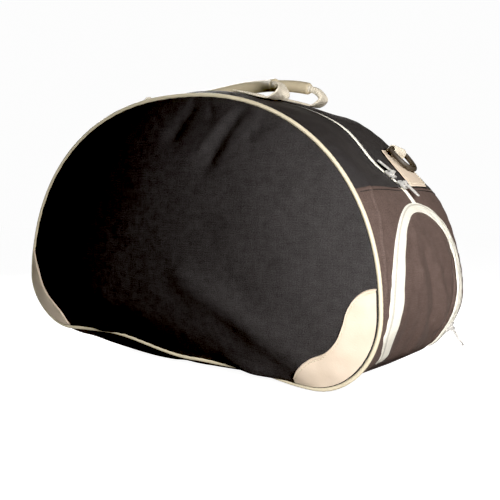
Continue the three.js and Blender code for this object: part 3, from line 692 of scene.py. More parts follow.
# Cloth: a plain weave with slubs both ways, fine grain and broad mottle, sized in turns per millimetre
def make_cloth(name, dark, light):
    finish = Finish(name, roughness=0.78)
    weave = finish.woven(pitch_along=1.3, pitch_across=1.3)
    slubs = finish.math("ADD", finish.noise((0.05, 0.8, 0)), finish.noise((0.8, 0.05, 0)))
    grain = finish.noise((0.9, 0.9, 0), detail=1.0)
    mottle = finish.noise((0.11, 0.11, 0), detail=4.0)
    finish.tint(finish.blended((slubs, 0.3), (grain, 1.1), (mottle, 0.45), offset=-0.4), dark, light)
    finish.bump(finish.blended((weave, 0.5), offset=slubs), depth=0.22, strength=0.7)
    finish.sheen(weight=0.04, tint=(0.75, 0.7, 0.66))
    finish.shader.inputs["Specular IOR Level"].default_value = 0.3
    return finish.material


def make_webbing(name, dark, light):
    finish = Finish(name, roughness=0.85)
    rib = finish.woven(pitch_along=STRAP_RIB_PITCH, pitch_across=2.4)
    mottle = finish.noise((0.4, 0.4, 0), detail=3.0)
    finish.tint(finish.blended((rib, 0.5), (mottle, 1.2), offset=0.0), dark, light)
    finish.bump(rib, depth=0.3, strength=0.8)
    finish.sheen(weight=0.15, tint=(1.0, 0.95, 0.85))
    return finish.material


# A finish of one mottled tint and one relief: the mottle's size and detail, the relief's pattern and sizes
def make_plain(name, dark, light, mottle, relief, depth, strength, roughness, metallic=0.0):
    finish = Finish(name, roughness, metallic)
    finish.tint(finish.noise(*mottle), dark, light)
    pattern, *sizes = relief
    finish.bump(pattern(finish, *sizes), depth, strength)
    return finish.material


face_cloth = make_cloth("black cloth", (0.0125, 0.0121, 0.0124), (0.064, 0.0613, 0.063))
# Painted light: the right end and its pocket take a lighter, warmer copy of the black cloth, painted as lit
# by the key light
lit_end_cloth = make_cloth("black cloth painted lit brown for the right end", (0.037, 0.0275, 0.0245), (0.155, 0.1145, 0.103))
# Painted light: the base takes a lighter, brown copy of the black cloth, painted to look lit like the right
# end
lit_base_cloth = make_cloth("black cloth painted lit brown for the base", (0.027, 0.0225, 0.021), (0.115, 0.0955, 0.09))
webbing = make_webbing("cream webbing", (0.55, 0.48, 0.36), (0.96, 0.9, 0.77))
leatherette = make_plain(
    "cream leatherette", (0.66, 0.55, 0.432), (0.77, 0.657, 0.55), mottle=((0.06, 0.06, 0.06), 4.0),
    relief=(Finish.cells, (0.75, 0.75, 0.75)), depth=0.16, strength=0.6, roughness=0.5,
)
grip_skin = make_plain(
    "beige grip leatherette", (0.56, 0.48, 0.34), (0.7, 0.62, 0.46), mottle=((0.07, 0.07, 0.07), 4.0),
    relief=(Finish.cells, (0.8, 0.8, 0.8)), depth=0.16, strength=0.6, roughness=0.55,
)
vinyl = make_plain(
    "cream vinyl piping", (0.62, 0.55, 0.4), (0.8, 0.73, 0.57), mottle=((0.05, 0.3, 0), 3.0),
    relief=(Finish.noise, (1.4, 1.4, 0), 2.0), depth=0.12, strength=0.5, roughness=0.45,
)
tape = make_plain(
    "cream zip tape", (0.8, 0.78, 0.68), (0.92, 0.9, 0.82), mottle=((0.3, 0.3, 0), 3.0),
    relief=(Finish.twill, 1.4), depth=0.12, strength=0.6, roughness=0.75,
)
coil = make_plain(
    "grey nylon coil", (0.46, 0.44, 0.39), (0.68, 0.66, 0.59), mottle=((0.6, 0.6, 0), 2.0),
    relief=(Finish.noise, (2.0, 2.0, 0), 2.0), depth=0.1, strength=0.4, roughness=0.4,
)
cream_thread = make_plain(
    "cream thread", (0.6, 0.54, 0.42), (0.8, 0.74, 0.6), mottle=((0.9, 0.9, 0.9), 2.0),
    relief=(Finish.twill, 0.5), depth=0.06, strength=0.6, roughness=0.7,
)
black_thread = make_plain(
    "black thread", (0.02, 0.02, 0.02), (0.05, 0.05, 0.05), mottle=((0.9, 0.9, 0.9), 2.0),
    relief=(Finish.twill, 0.5), depth=0.06, strength=0.6, roughness=0.7,
)
nickel = make_plain(
    "bright nickel", (0.84, 0.83, 0.8), (0.94, 0.93, 0.91), mottle=((0.5, 0.5, 0.5), 3.0),
    relief=(Finish.noise, (0.4, 4.0, 4.0), 3.0), depth=0.03, strength=0.4, roughness=0.32, metallic=0.5,
)
enamel = make_plain(
    "black enamel", (0.05, 0.042, 0.034), (0.1, 0.085, 0.07), mottle=((0.3, 0.3, 0.3), 3.0),
    relief=(Finish.noise, (0.8, 0.8, 0.8), 3.0), depth=0.05, strength=0.4, roughness=0.5,
)

# Faces: the gap left at the top
FACE_TOP_GAP = 2.5


def sag_front(points, x, z, share):
    near = (1 - share) / SAG_SHARE
    below = ramp(z, 90.0, 30.0)
    for at, drop, reach in FRONT_SAGS:
        pull = drop * near * np.exp(1 - near) * bell(x - at, reach) * below
        points[..., 2] -= pull
        points[..., 1] -= SAG_FORWARDS * pull


def make_face(side, name):
    rows = np.linspace(BASE_END, LENGTH / 2 - FACE_TOP_GAP, 170)
    even = np.linspace(0, 1, 210)
    columns = 0.5 * even + 0.25 * (1 - np.cos(np.pi * even))
    right = seam_line(rows, side * HALF_DEPTH, SEAM_TUCK)
    left = seam_line(-rows, side * HALF_DEPTH, SEAM_TUCK)
    plan = left[:, None] + columns[None, :, None] * (right - left)[:, None]
    x, z = plan[..., 0], plan[..., 1]
    share, angle, rim = face_share(side, x, z)
    away = (1 - share) * rim
    inner = ramp(away, 0, 20.0)
    out = pucker(angle * FACE_RADIUS, away) + inner * cloth_waves(x + SIDE_PHASE * side, z)
    if side < 0:
        out = out + inner * fold_height(FRONT_CREASES, x, z)
    points = face_point(side, x, z, out)
    if side < 0:
        sag_front(points, x, z, share)
    add_sheet(name, points, x, z, face_cloth)


# Gusset strips: places from the edge and heights of the turned hem along the zip
HEM = (
    (0.5, -2.0), (0.1, -1.0), (0.0, -0.2), (0.3, 0.35), (0.9, 0.6),
    (2.0, 0.62), (3.6, 0.45), (4.4, 0.1), (5.4, 0.4),
)
HEM_FADE = 10
STRIP_WAVE = 1.3
SEAM_DROP = 0.8
SEAM_DROP_REACH = 1.5


def tab_depth(station):
    return TAB_DEPTH + TAB_SLANT * (np.abs(station) - LOOP_STATION)


# How far the cloth may wave: not under the tabs of the strap rings
def clear_of_tabs(stations, depths):
    from_seam = np.minimum(stations, LENGTH - stations)
    aside = np.abs(depths - tab_depth(from_seam)) - TAB_HALF_WIDTH
    above = from_seam - TAB_TO
    return np.maximum(ramp(aside, *TAB_CLEARANCE), ramp(above, *TAB_CLEARANCE))


def make_top_gusset(side, name):
    stations = np.linspace(END_SEAM, LENGTH - END_SEAM, 300)[:, None]
    hem = np.array(HEM)
    rest = np.linspace(0, 1, 44)[1:]
    edge = main_zip_depth(stations) + side * read_table(ZIP_SHOWN, stations)
    last = side * (HALF_DEPTH - SEAM_TUCK)
    near = edge + side * hem[None, :, 0]
    far = near[:, -1:] + rest[None] * (last - near[:, -1:])
    depths = np.concatenate([near, far], axis=1)
    hem_out = np.concatenate([hem[:, 1], hem[-1, 1] * (1 - smooth(rest * HEM_FADE))])[None]
    away = HALF_DEPTH - np.abs(depths)
    inner = ramp(np.abs(depths - edge), 6.0, 18.0) * ramp(away, 0, 15.0)
    inner = inner * clear_of_tabs(stations, depths)
    out = hem_out + STRIP_WAVE * inner * cloth_waves(stations, depths)
    out = out + pucker(stations + SIDE_PHASE * side, away)
    points = gusset_point(stations, depths, out)
    add_sheet(name, points, stations, depths, face_cloth)


def make_plain_gusset(name, first, last, rows, cloth):
    stations = np.linspace(first, last, rows)[:, None]
    depths = np.linspace(-1, 1, 72)[None] * (HALF_DEPTH - SEAM_TUCK)
    away = HALF_DEPTH - np.abs(depths)
    seam = np.minimum(stations - first, last - stations)
    out = ramp(away, 0, 15.0) * ramp(seam, 0, 12.0) * cloth_waves(stations, depths)
    out = out + pucker(stations, away) - SEAM_DROP * np.exp(-seam / SEAM_DROP_REACH)
    if name == "bottom_panel":
        out = np.minimum(out, 0)
    points = gusset_point(stations, depths, out)
    points[..., 2] = np.maximum(points[..., 2], FLOOR_GAP)
    add_sheet(name, points, stations, depths, cloth)


# Zips
def coil_height(along, across):
    teeth = np.abs(np.sin(np.pi * along / COIL_PITCH + 0.5 * np.pi * (across > 0)))
    round_top = np.sqrt(np.maximum(0, 1 - (across / COIL_HALF_WIDTH) ** 2))
    return COIL_RISE * round_top * (COIL_VALLEY + (1 - COIL_VALLEY) * teeth)


def make_main_zip():
    stations = np.linspace(ZIP_START, LENGTH - END_SEAM, 1240)[:, None]
    half = np.array(ZIP_COLUMNS)
    across = np.concatenate([-half[::-1], [0.0], half])[None]
    out = coil_height(stations, across) - ZIP_SINK
    points = gusset_point(stations, main_zip_depth(stations) + across, out)
    add_sheet("main_zip", points, stations, across, tape)


def arch_curve(share, count):
    half_width = POCKET_INNER[0] + share * (POCKET_OUTER[0] - POCKET_INNER[0])
    height = POCKET_INNER[1] + share * (POCKET_OUTER[1] - POCKET_INNER[1])
    start = math.asin((POCKET_FOOT / height) ** 2)
    angle = np.linspace(start, np.pi - start, 2000)
    depth = -half_width * np.cos(angle)
    depth = depth + POCKET_TAPE_SPREAD * (1 - share) * np.maximum(np.cos(angle), 0)
    level = height * np.sqrt(np.sin(angle))
    depth = pocket_depth(depth, level)
    walk = np.concatenate([[0], np.cumsum(np.hypot(np.diff(depth), np.diff(level)))])
    at = np.linspace(0, walk[-1], count)
    return np.interp(at, walk, depth), np.interp(at, walk, level), at


def arch_sheet(shares, count):
    columns = [arch_curve(share, count) for share in shares]
    return (np.stack(parts, 1) for parts in zip(*columns))


def make_pocket_zip():
    middle = [(share, TAPE_OUT) for share in np.linspace(0.1, 0.9, 17)]
    shares, heights = np.array([*TAPE_INNER_EDGE, *middle, *TAPE_OUTER_EDGE]).T
    depth, level, along = arch_sheet(shares, 420)
    width = POCKET_OUTER[0] - POCKET_INNER[0]
    sink, place, reach = TAPE_LINE
    out = heights[None] + TAPE_WAVE * np.sin(2 * np.pi * along / TAPE_WAVE_LENGTH)
    points = end_surface(depth, level, out - sink * bell(shares - place, reach))
    add_sheet("pocket_zip", points, along, shares[None] * width, tape)
    across = np.array(POCKET_COIL_COLUMNS)
    depth, level, along = arch_sheet(POCKET_COIL_SHARE + across / width, 900)
    points = end_surface(depth, level, POCKET_COIL_OUT + coil_height(along, across[None]))
    dress(add_grid("pocket_coil", points, along, across[None]), coil)


# The pocket's cloth: the least height of a column, and the most that one lies aside
LEAST_HEIGHT = 0.5
MOST_ASIDE = 0.9995


def pocket_hollow(edge, depths, level):
    sides = ramp(edge, 34.0, 12.0) * ramp(edge, 0, 5.0) * ramp(depths, 15.0, 45.0)
    return HOLLOW_DEPTH * sides * ramp(level, 20.0, 50.0) * (1 - ramp(level, 110.0, 160.0))


def make_pocket_panel():
    half_width, height = POCKET_INNER[0] + POCKET_TUCK, POCKET_INNER[1] + POCKET_TUCK
    depth = np.sin(np.linspace(-np.pi / 2, np.pi / 2, 150)) * half_width * MOST_ASIDE
    top = height * (1 - (depth / half_width) ** 2) ** 0.25
    foot = gusset_point(BASE_SEAM, depth)[..., 2]
    share = np.linspace(0, 1, 130)
    level = foot[None] + share[:, None] * np.maximum(top - foot, LEAST_HEIGHT)[None]
    depths = depth[None] + np.zeros_like(level)
    edge = np.minimum(half_width - np.abs(depths), top[None] - level)
    hollow = pocket_hollow(edge, depths, level)
    depths = pocket_depth(depths, level, np.abs(depths) / half_width)
    slack = fold_height(POCKET_FOLDS, depths, level) + POCKET_WAVE * cloth_waves(level, depths)
    drop = POCKET_EDGE_DROP * (1 - ramp(edge, 0, 4.0))
    points = end_surface(depths, level, ramp(edge, 3.0, 19.0) * slack - drop - hollow)
    # The pocket's cloth is the lighter copy of the black cloth, with the key light painted in
    add_sheet("pocket_panel", points, depths, level, lit_end_cloth)


# The right end around the pocket: sunk behind tape and cloth, grooved under the zip, folded at its seam,
# and with a ridge where the seam allowance lies, by station and depth
END_ROWS_TURN = 380
END_COLUMNS_TURN = 0.62
TAPE_SINK = 1.8
POCKET_SINK = 8.0
WELT_LINE = ((300, -99), (316, -98), (334, -97), (363, -94), (406, -85), (428, -80))
WELT_RISE = 1.4
GROOVE_DEPTH = 1.9
GROOVE_HALF_WIDTH = 5.0
GROOVE_POWER = 6
END_FOLD = (0.35, 2.2, 1.8)
END_DROP = 0.5
END_DROP_REACH = 0.8


def inside_pocket(depth, level):
    half_width, height = POCKET_OUTER
    upright = 2 * depth - pocket_depth(depth, level)
    tall = np.clip(1 - (upright / half_width) ** 2, 0, 1) ** 0.25 * height
    wide = half_width * np.sqrt(np.clip(1 - (level / height) ** 4, 0, 1))
    return np.minimum(tall - level, wide - np.abs(upright))


def end_relief(s, d):
    groove = np.exp(-(((d - main_zip_depth(s)) / GROOVE_HALF_WIDTH) ** GROOVE_POWER))
    welt = WELT_RISE * bell(d - read_table(WELT_LINE, s), 1.5) * ramp(s, 300, 320)
    rise, place, reach = END_FOLD
    seam = END_SEAM - s
    fold = rise * bell(seam - place, reach) - END_DROP * np.exp(-seam / END_DROP_REACH)
    return welt - GROOVE_DEPTH * groove * ramp(s, ZIP_START - 2, ZIP_START + 1) + fold


def make_right_end():
    low = np.linspace(BASE_SEAM, END_ROWS_TURN, 90)
    stations = np.concatenate([low, np.linspace(END_ROWS_TURN, END_SEAM, 60)[1:]])
    side = np.linspace(-1, -END_COLUMNS_TURN, 46)
    middle = np.linspace(-END_COLUMNS_TURN, END_COLUMNS_TURN, 60)[1:-1]
    depths = np.concatenate([side, middle, -side[::-1]]) * (HALF_DEPTH - SEAM_TUCK)
    s, d = np.meshgrid(stations, depths, indexing="ij")
    inside = inside_pocket(d, gusset_point(s, d)[..., 2])
    sunk = TAPE_SINK * ramp(inside, 1.0, 4.0) + POCKET_SINK * ramp(inside, 16.0, 22.0)
    away = HALF_DEPTH - np.abs(d)
    free = ramp(-inside, 0, 8.0) * ramp(away, 0, 14.0)
    waves = free * ramp(END_SEAM - s, 0, 10.0) * cloth_waves(s, d)
    points = gusset_point(s, d, pucker(s, away) + end_relief(s, d) + waves - sunk)
    # The right end's cloth is the lighter copy of the black cloth, with the key light painted in
    add_sheet("right_end_panel", points, s, d, lit_end_cloth)


# Piping
def make_piping_cord(side, name, seat):
    stations = np.linspace(0, LENGTH, 760, endpoint=False)
    turn = circle(14)
    _, _, normal_x, normal_z = outline_at(stations, side * HALF_DEPTH)
    normal = np.stack([normal_x, np.zeros_like(normal_x), normal_z], -1)
    sideways = np.broadcast_to([0.0, 1.0, 0.0], normal.shape)
    twist = np.sin(2 * np.pi * stations / PIPING_TWIST_PITCH) * np.sin(stations / PIPING_TWIST_DRIFT)
    radius = PIPING_SHOWN * (1 + PIPING_TWIST * twist)
    sink, shift = seat
    middle = gusset_point(stations, side * HALF_DEPTH) - sink * normal + side * shift * sideways
    points = middle[:, None] + radius[:, None, None] * rings(turn, normal, sideways)
    points[..., 2] = np.maximum(points[..., 2], FLOOR_GAP)
    piece = add_grid(name, points, stations[:, None], PIPING_RADIUS * turn[None], True, True)
    dress(piece, vinyl, node=name)


# Leatherette corners: rows along each, how many at its ends have no stitches, and the stitches' height
PATCH_ROWS = 120
PATCH_STITCH_ENDS = 4
PATCH_STITCH_OUT = PATCH_OUT + 0.1


def smooth_line(rows, count):
    rows = np.array(rows, float)
    at = np.linspace(0, len(rows) - 1, count)
    i = np.clip(at.astype(int), 0, len(rows) - 2)
    t = (at - i)[:, None]
    before = rows[np.maximum(i - 1, 0)]
    after = rows[np.minimum(i + 2, len(rows) - 1)]
    start, end = rows[i], rows[i + 1]
    lean_in, lean_out = (end - before) / 2, (after - start) / 2
    rise, blend = end - start, lean_in + lean_out
    return start + t * lean_in + t**2 * (3 * rise - lean_in - blend) + t**3 * (blend - 2 * rise)


def make_patch(name, sense, lowest, highest, edge_rows):
    edge = smooth_line(edge_rows, PATCH_ROWS) * (sense, 1)
    rim = seam_line(np.linspace(highest, lowest, PATCH_ROWS), -HALF_DEPTH, PATCH_INSET) * (sense, 1)
    across = np.concatenate([np.linspace(0, 0.9, 40), np.linspace(0.91, 1, 14)])
    plan = rim[:, None] + across[None, :, None] * (edge - rim)[:, None]
    x, z = plan[..., 0], plan[..., 1]
    width = np.linalg.norm(edge - rim, axis=1)
    from_edge = (1 - across)[None] * width[:, None]
    along = np.linspace(0, 1, PATCH_ROWS)[:, None] * PATCH_LENGTH
    ends = np.minimum(along, PATCH_LENGTH - along)
    roll = ramp(from_edge, 0, 1.2) * ramp(ends, 0, 1.5)
    relief = sum(rise * bell(from_edge - place, reach) for rise, place, reach in PATCH_BEAD)
    if sense > 0:
        relief = relief + fold_height(PATCH_CREASES, x, z)
    relief = relief + PATCH_SWELL * cloth_waves(2 * x, 2 * z)
    points = face_point(-1, x, z, PATCH_OUT * roll + roll * relief + PATCH_FOOT)
    add_sheet(name, points, x, z, leatherette)
    share = np.clip(PATCH_STITCH_INSET / np.maximum(width, PATCH_STITCH_INSET), 0, 0.5)[:, None]
    sewn = (edge + (rim - edge) * share)[PATCH_STITCH_ENDS:-PATCH_STITCH_ENDS]
    line = spaced(face_point(-1, sewn[:, 0], sewn[:, 1], PATCH_STITCH_OUT), STITCH_PITCH)
    return line, np.tile([0.0, -1.0, 0.0], (len(line), 1))


# Handles: columns of the webbing
WEBBING_COLUMNS = 22


def centripetal(points, per_span):
    points = np.array(points, float)
    padded = np.concatenate([[2 * points[0] - points[1]], points, [2 * points[-1] - points[-2]]])
    reach = np.sqrt(np.linalg.norm(np.diff(padded, axis=0), axis=1))[:, None]
    result = []
    t = np.linspace(0, 1, per_span, endpoint=False)[:, None]
    for i in range(len(points) - 1):
        p0, p1, p2, p3 = padded[i : i + 4]
        d0, d1, d2 = reach[i : i + 3]
        lean_in = d1 * ((p1 - p0) / d0 - (p2 - p0) / (d0 + d1) + (p2 - p1) / d1)
        lean_out = d1 * ((p2 - p1) / d1 - (p3 - p1) / (d1 + d2) + (p3 - p2) / d2)
        bend = 2 * (p1 - p2) + lean_in + lean_out
        result.append(p1 + t * lean_in + t**2 * (3 * (p2 - p1) - 2 * lean_in - lean_out) + t**3 * bend)
    return np.concatenate([*result, points[-1:]])


def crown_station(x):
    station = LENGTH / 2
    for _ in range(8):
        station = station + outline_at(np.array(station))[0] - x
    return station


def handle_line(depth, route):
    tail = [gusset_point(crown_station(x), depth, TAIL_OUT) for x in TAIL_X]
    right = [(x, y, z) for x, y, z, _ in route]
    left = [(-x, y, z - drop) for x, y, z, drop in route[-2::-1]]
    left_tail = [point * (-1, 1, 1) for point in tail[::-1]]
    line = centripetal([*tail, *right, *left, *left_tail], 60)
    line, walk = even_line(line, 420)
    along = unit(np.gradient(line, axis=0))
    thick = unit(np.cross(along, [0.0, 1.0, 0.0]))
    return line, unit(np.cross(thick, along)), thick, walk


def make_strap(name, line, wide, thick, walk, share, held):
    first, last = share[held][0], share[held][-1]
    rolled = np.minimum(
        smooth((share - first + ROLL_TO) / (ROLL_TO - ROLL_FROM)),
        1 - smooth((share - last - ROLL_FROM) / (ROLL_TO - ROLL_FROM)),
    )[:, None]
    half_width = STRAP_HALF_WIDTH + rolled * (ROLLED_HALF_WIDTH - STRAP_HALF_WIDTH)
    half_thickness = STRAP_HALF_THICKNESS + rolled * (ROLLED_HALF_THICKNESS - STRAP_HALF_THICKNESS)
    across, level = rounded_band(WEBBING_COLUMNS)
    ribs = STRAP_RIB_RISE * np.abs(np.sin(np.pi * walk / STRAP_RIB_PITCH))[:, None]
    up = level[None] * (half_thickness - STRAP_RIB_SINK + ribs)
    side = across[None] * half_width
    points = line[:, None] + side[..., None] * wide[:, None] + up[..., None] * thick[:, None]
    add_sheet(name, points, walk[:, None], side, webbing, round_columns=True)


def make_grip(name, line, wide, thick, walk):
    ends = np.minimum(walk - walk[0], walk[-1] - walk)
    turn = circle(32)
    shape = np.sqrt(np.maximum(0, 1 - (1 - np.minimum(ends / GRIP_NOSE, 1)) ** 2))
    radius = GRIP_CORE + (GRIP_RADIUS - GRIP_CORE) * shape
    seam = sum(rise * bell(turn - GRIP_SEAM_TURN, reach) for rise, reach in GRIP_SEAM)
    waves = np.sin(walk / GRIP_FULLNESS_LENGTH)[:, None] * np.sin(2 * turn + GRIP_FULLNESS_PHASE)[None]
    size = radius[:, None] + (seam[None] + GRIP_FULLNESS * waves) * shape[:, None]
    points = line[:, None] + size[..., None] * rings(turn, wide, thick)
    around = GRIP_RADIUS * turn[None]
    piece = add_sheet(name, points, walk[:, None], around, grip_skin, round_columns=True)


def make_handle(name, depth, half_length, route):
    line, wide, thick, walk = handle_line(depth, route)
    share = np.linspace(0, 1, len(line))
    held = (np.abs(share - 0.5) < 0.25) & (np.abs(line[:, 0]) < half_length)
    make_strap(name + "_strap", line, wide, thick, walk, share, held)
    make_grip(name + "_grip", line[held], wide[held], thick[held], walk[held])
    return tail_stitches(depth)


def tail_stitches(depth):
    rows = []
    aside = STRAP_HALF_WIDTH - TAIL_STITCH_INSET
    near, far = depth - aside, depth + aside
    for sense in (1, -1):
        inner, outer = (sense * crown_station(x) for x in TAIL_STITCH_X)
        corners = ((inner, near), (outer, near), (inner, far), (outer, far), (inner, near), (inner, far))
        for start, end in zip(corners, corners[1:]):
            stations, depths = np.linspace(start, end, 30).T
            rows.append(gusset_row(stations, depths, TAIL_STITCH_OUT))
    return rows


# Strap rings and zip pulls
def loop_depth(station):
    return TAB_DEPTH + LOOP_SLANT * (np.abs(station) - LOOP_STATION)


def pocket_zip_depth(station):
    middle = (POCKET_OUTER[0] + POCKET_INNER[0]) / 2
    return np.full_like(np.asarray(station, float), middle - POCKET_BACK_LEAN[0])


def fitting_frame(station, depth_at, sense, seat=0.0):
    ends = [gusset_point(station + step, depth_at(station + step), seat) for step in (-1, 0, 1)]
    along = unit((ends[2] - ends[0]) * sense)
    depth = depth_at(station)
    slope = gusset_point(station, depth + 1) - gusset_point(station, depth - 1)
    out = unit(np.cross(slope, along))
    _, _, normal_x, normal_z = outline_at(np.array(float(station)))
    if out @ np.array([normal_x, 0.0, normal_z]) < 0:
        out = -out
    return ends[1], np.stack([along, np.cross(out, along), out])


def placed(points, origin, axes):
    return origin + points @ axes


def turned(points, degrees):
    c, s = math.cos(math.radians(degrees)), math.sin(math.radians(degrees))
    x, y, z = points[..., 0], points[..., 1], points[..., 2]
    return np.stack([x * c + z * s, y, z * c - x * s], -1)


def make_tab(side, sense):
    stations = np.linspace(TAB_FROM, TAB_TO, 60)[:, None] * sense
    across, level = rounded_band(40)
    ends = np.minimum(np.abs(stations) - TAB_FROM, TAB_TO - np.abs(stations))
    rounding = 1 - (1 - np.minimum(ends / TAB_HALF_THICKNESS, 1)) ** 2
    roll = np.sqrt(np.clip(rounding, TAB_LEAST_ROLL, 1))
    half_width = TAB_HALF_WIDTH - TAB_TAPER * (1 - ramp(ends, 0, 3.0))
    depths = tab_depth(stations) + half_width * across[None]
    sink, place, reach = TAB_GROOVE
    groove = sink * bell(np.abs(across) - place, reach) * (level > 0)
    out = TAB_OUT - TAB_HALF_THICKNESS + (TAB_HALF_THICKNESS * level - groove)[None] * roll
    points = gusset_point(stations, depths, out)
    add_sheet("ring_tab_" + side, points, stations, depths, leatherette, round_columns=True)


def tab_stitches(sense):
    rows = []
    along = np.linspace(*TAB_STITCH_SPAN, 40) * sense
    for edge in (-1, 1):
        rows.append(gusset_row(along, tab_depth(along) + edge * TAB_STITCH_HALF_WIDTH, TAB_STITCH_OUT))
    across = np.linspace(-1, 1, 30) * TAB_STITCH_HALF_WIDTH
    for station in TAB_STITCH_SPAN:
        stations = np.full_like(across, station * sense)
        rows.append(gusset_row(stations, tab_depth(station) + across, TAB_STITCH_OUT))
    return rows


def make_loop(side, origin, axes):
    middle = (LOOP_RADIUS + LOOP_BORE) / 2
    half = (LOOP_RADIUS - LOOP_BORE) / 2
    bend = np.linspace(np.pi, 0, 60)
    legs = np.linspace(LOOP_FOOT, LOOP_LEVEL, 16)[:-1]
    path = np.concatenate([
        np.stack([np.full_like(legs, -middle), legs], -1),
        np.stack([middle * np.cos(bend), LOOP_LEVEL + middle * np.sin(bend)], -1),
        np.stack([np.full_like(legs, middle), legs[::-1]], -1),
    ])
    along = unit(np.gradient(path, axis=0))
    normal = np.stack([-along[:, 1], along[:, 0]], -1)
    across, level = rounded_band(WEBBING_COLUMNS)
    walk = walked(path)
    rib = LOOP_RIB_RISE * np.sin(2 * np.pi * walk / STRAP_RIB_PITCH)
    lift = level[None] * (half - LOOP_RIB_RISE + rib)[:, None]
    x = path[:, :1] + normal[:, :1] * lift
    z = path[:, 1:] + normal[:, 1:] * lift
    y = np.broadcast_to(across[None] * LOOP_HALF_WIDTH, x.shape)
    points = placed(np.stack([x, y, z], -1), origin, axes)
    add_sheet("ring_loop_" + side, points, walk[:, None], y, webbing, round_columns=True)


def bezier(controls, count):
    t = np.linspace(0, 1, count, endpoint=False)[:, None]
    points = [np.array(point, float) for point in controls]
    while len(points) > 1:
        points = [(1 - t) * a + t * b for a, b in zip(points, points[1:])]
    return points[0]


def ring_path():
    half, reach, bend = RING_HALF_WIDTH, RING_REACH, RING_BEND
    return np.concatenate([
        bezier(((0, bend - half), (0, half - bend)), 24),
        bezier(((0, half - bend), (0, half), (bend, half)), 10),
        bezier(((bend, half), (RING_SHOULDER, half), (reach, RING_TIP), (reach, 0)), 40),
        bezier(((reach, 0), (reach, -RING_TIP), (RING_SHOULDER, -half), (bend, -half)), 40),
        bezier(((bend, -half), (0, -half), (0, bend - half)), 10),
    ])


def make_ring(side, origin, axes, drop):
    path = ring_path()
    along = unit(np.roll(path, -1, axis=0) - np.roll(path, 1, axis=0))
    turn = circle(20)
    aside = RING_RADIUS * np.cos(turn)[None, :]
    x = path[:, :1] + aside * along[:, 1:]
    y = path[:, 1:] - aside * along[:, :1]
    z = np.broadcast_to(RING_RADIUS * np.sin(turn)[None], x.shape)
    local = turned(np.stack([x, y, z], -1), drop) + (0, 0, LOOP_LEVEL)
    walk = np.arange(len(path))[:, None] * RING_STEP
    points = placed(local, origin, axes)
    piece = add_grid("d_ring_" + side, points, walk, RING_RADIUS * turn[None], True, True)
    dress(piece, enamel, "ring_" + side, "d_ring_" + side)


def rounded_outline(first, last, half_width, radius):
    right, left, top = last - radius, first + radius, half_width - radius
    points = []
    for x, y, start in ((right, top, 0), (left, top, 90), (left, -top, 180), (right, -top, 270)):
        angle = np.radians(np.linspace(start, start + 90, 12))
        points.append(np.stack([x + radius * np.cos(angle), y + radius * np.sin(angle)], -1))
    return np.concatenate(points)


def pull_plate():
    outer = rounded_outline(EYE_RADIUS - 0.5, PULL_LENGTH, PULL_HALF_WIDTH, radius=1.6)
    inner = rounded_outline(first=6.0, last=PULL_LENGTH - 3.2, half_width=0.95, radius=0.9)
    columns = []
    for share, level in PULL_SECTION:
        heights = np.full((len(outer), 1), PULL_HALF_THICKNESS * level)
        columns.append(np.concatenate([outer + share * (inner - outer), heights], axis=1))
    return np.stack(columns, 1)


def pull_eye():
    turn = circle(28)
    columns = []
    for radius, side in ((EYE_RADIUS, -1), (EYE_RADIUS, 1), (EYE_BORE, 1), (EYE_BORE, -1)):
        aside = np.full_like(turn, side * PULL_HALF_WIDTH)
        columns.append(np.stack([radius * np.cos(turn), aside, radius * np.sin(turn)], -1))
    return np.stack(columns, 1)


def make_pull(node, body, origin, axes, lift):
    parts = (pull_plate(), pull_eye())
    faces, start = [], 0
    for part in parts:
        faces.append(grid_faces(*part.shape[:2], True, True) + start)
        start += part.shape[0] * part.shape[1]
    local = np.concatenate([part.reshape(-1, 3) for part in parts])
    points = placed(turned(local, -lift) + (0, 0, PIN_LEVEL), origin, axes)
    piece = add_mesh(node, points, np.concatenate(faces), local)
    dress(piece, nickel, body, node)
    crisp = piece.modifiers.new("crisp edges", "EDGE_SPLIT")
    crisp.split_angle = math.radians(40.0)


def finish_slider(node):
    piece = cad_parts[node]
    piece.data.materials.clear()
    piece.data.materials.append(nickel)
    edge = piece.modifiers.new("rounded edges", "BEVEL")
    edge.width = 0.4 * MM
    edge.segments = 2


# Build
make_face(-1, "front_panel")
make_face(1, "back_panel")
make_top_gusset(-1, "top_gusset_front")
make_top_gusset(1, "top_gusset_back")
# The bottom panel gets the lighter copy of the black cloth, with light painted in
make_plain_gusset("bottom_panel", -BASE_SEAM, BASE_SEAM, 240, lit_base_cloth)
make_plain_gusset("left_end_panel", LENGTH - END_SEAM, LENGTH - BASE_SEAM, 110, face_cloth)
make_right_end()
make_main_zip()
make_pocket_zip()
make_pocket_panel()
make_piping_cord(-1, "front_piping", FRONT_PIPING_SEAT)
make_piping_cord(1, "back_piping", BACK_PIPING_SEAT)
cream_rows = [make_patch(*patch) for patch in PATCHES]
for handle in HANDLES:
    cream_rows += make_handle(*handle)
for ring_side, ring_sense, ring_drop in RINGS:
    ring_origin, ring_axes = fitting_frame(ring_sense * LOOP_STATION, loop_depth, -ring_sense)
    make_tab(ring_side, ring_sense)
    cream_rows += tab_stitches(ring_sense)
    make_loop(ring_side, ring_origin, ring_axes)
    make_ring(ring_side, ring_origin, ring_axes, ring_drop)
for pull_node, pull_body, pull_station, pull_sense, pull_seat, pull_lift in PULLS:
    depth_at = pocket_zip_depth if pull_node == "pocket_puller" else main_zip_depth
    pull_origin, pull_axes = fitting_frame(pull_station, depth_at, pull_sense, pull_seat)
    make_pull(pull_node, pull_body, pull_origin, pull_axes, pull_lift)
for slider in SLIDERS:
    finish_slider(slider)
add_stitches("cream_stitches", cream_rows, cream_thread)
zip_line = np.linspace(END_SEAM + ZIP_ROW_ENDS, LENGTH - END_SEAM - ZIP_ROW_ENDS, 600)
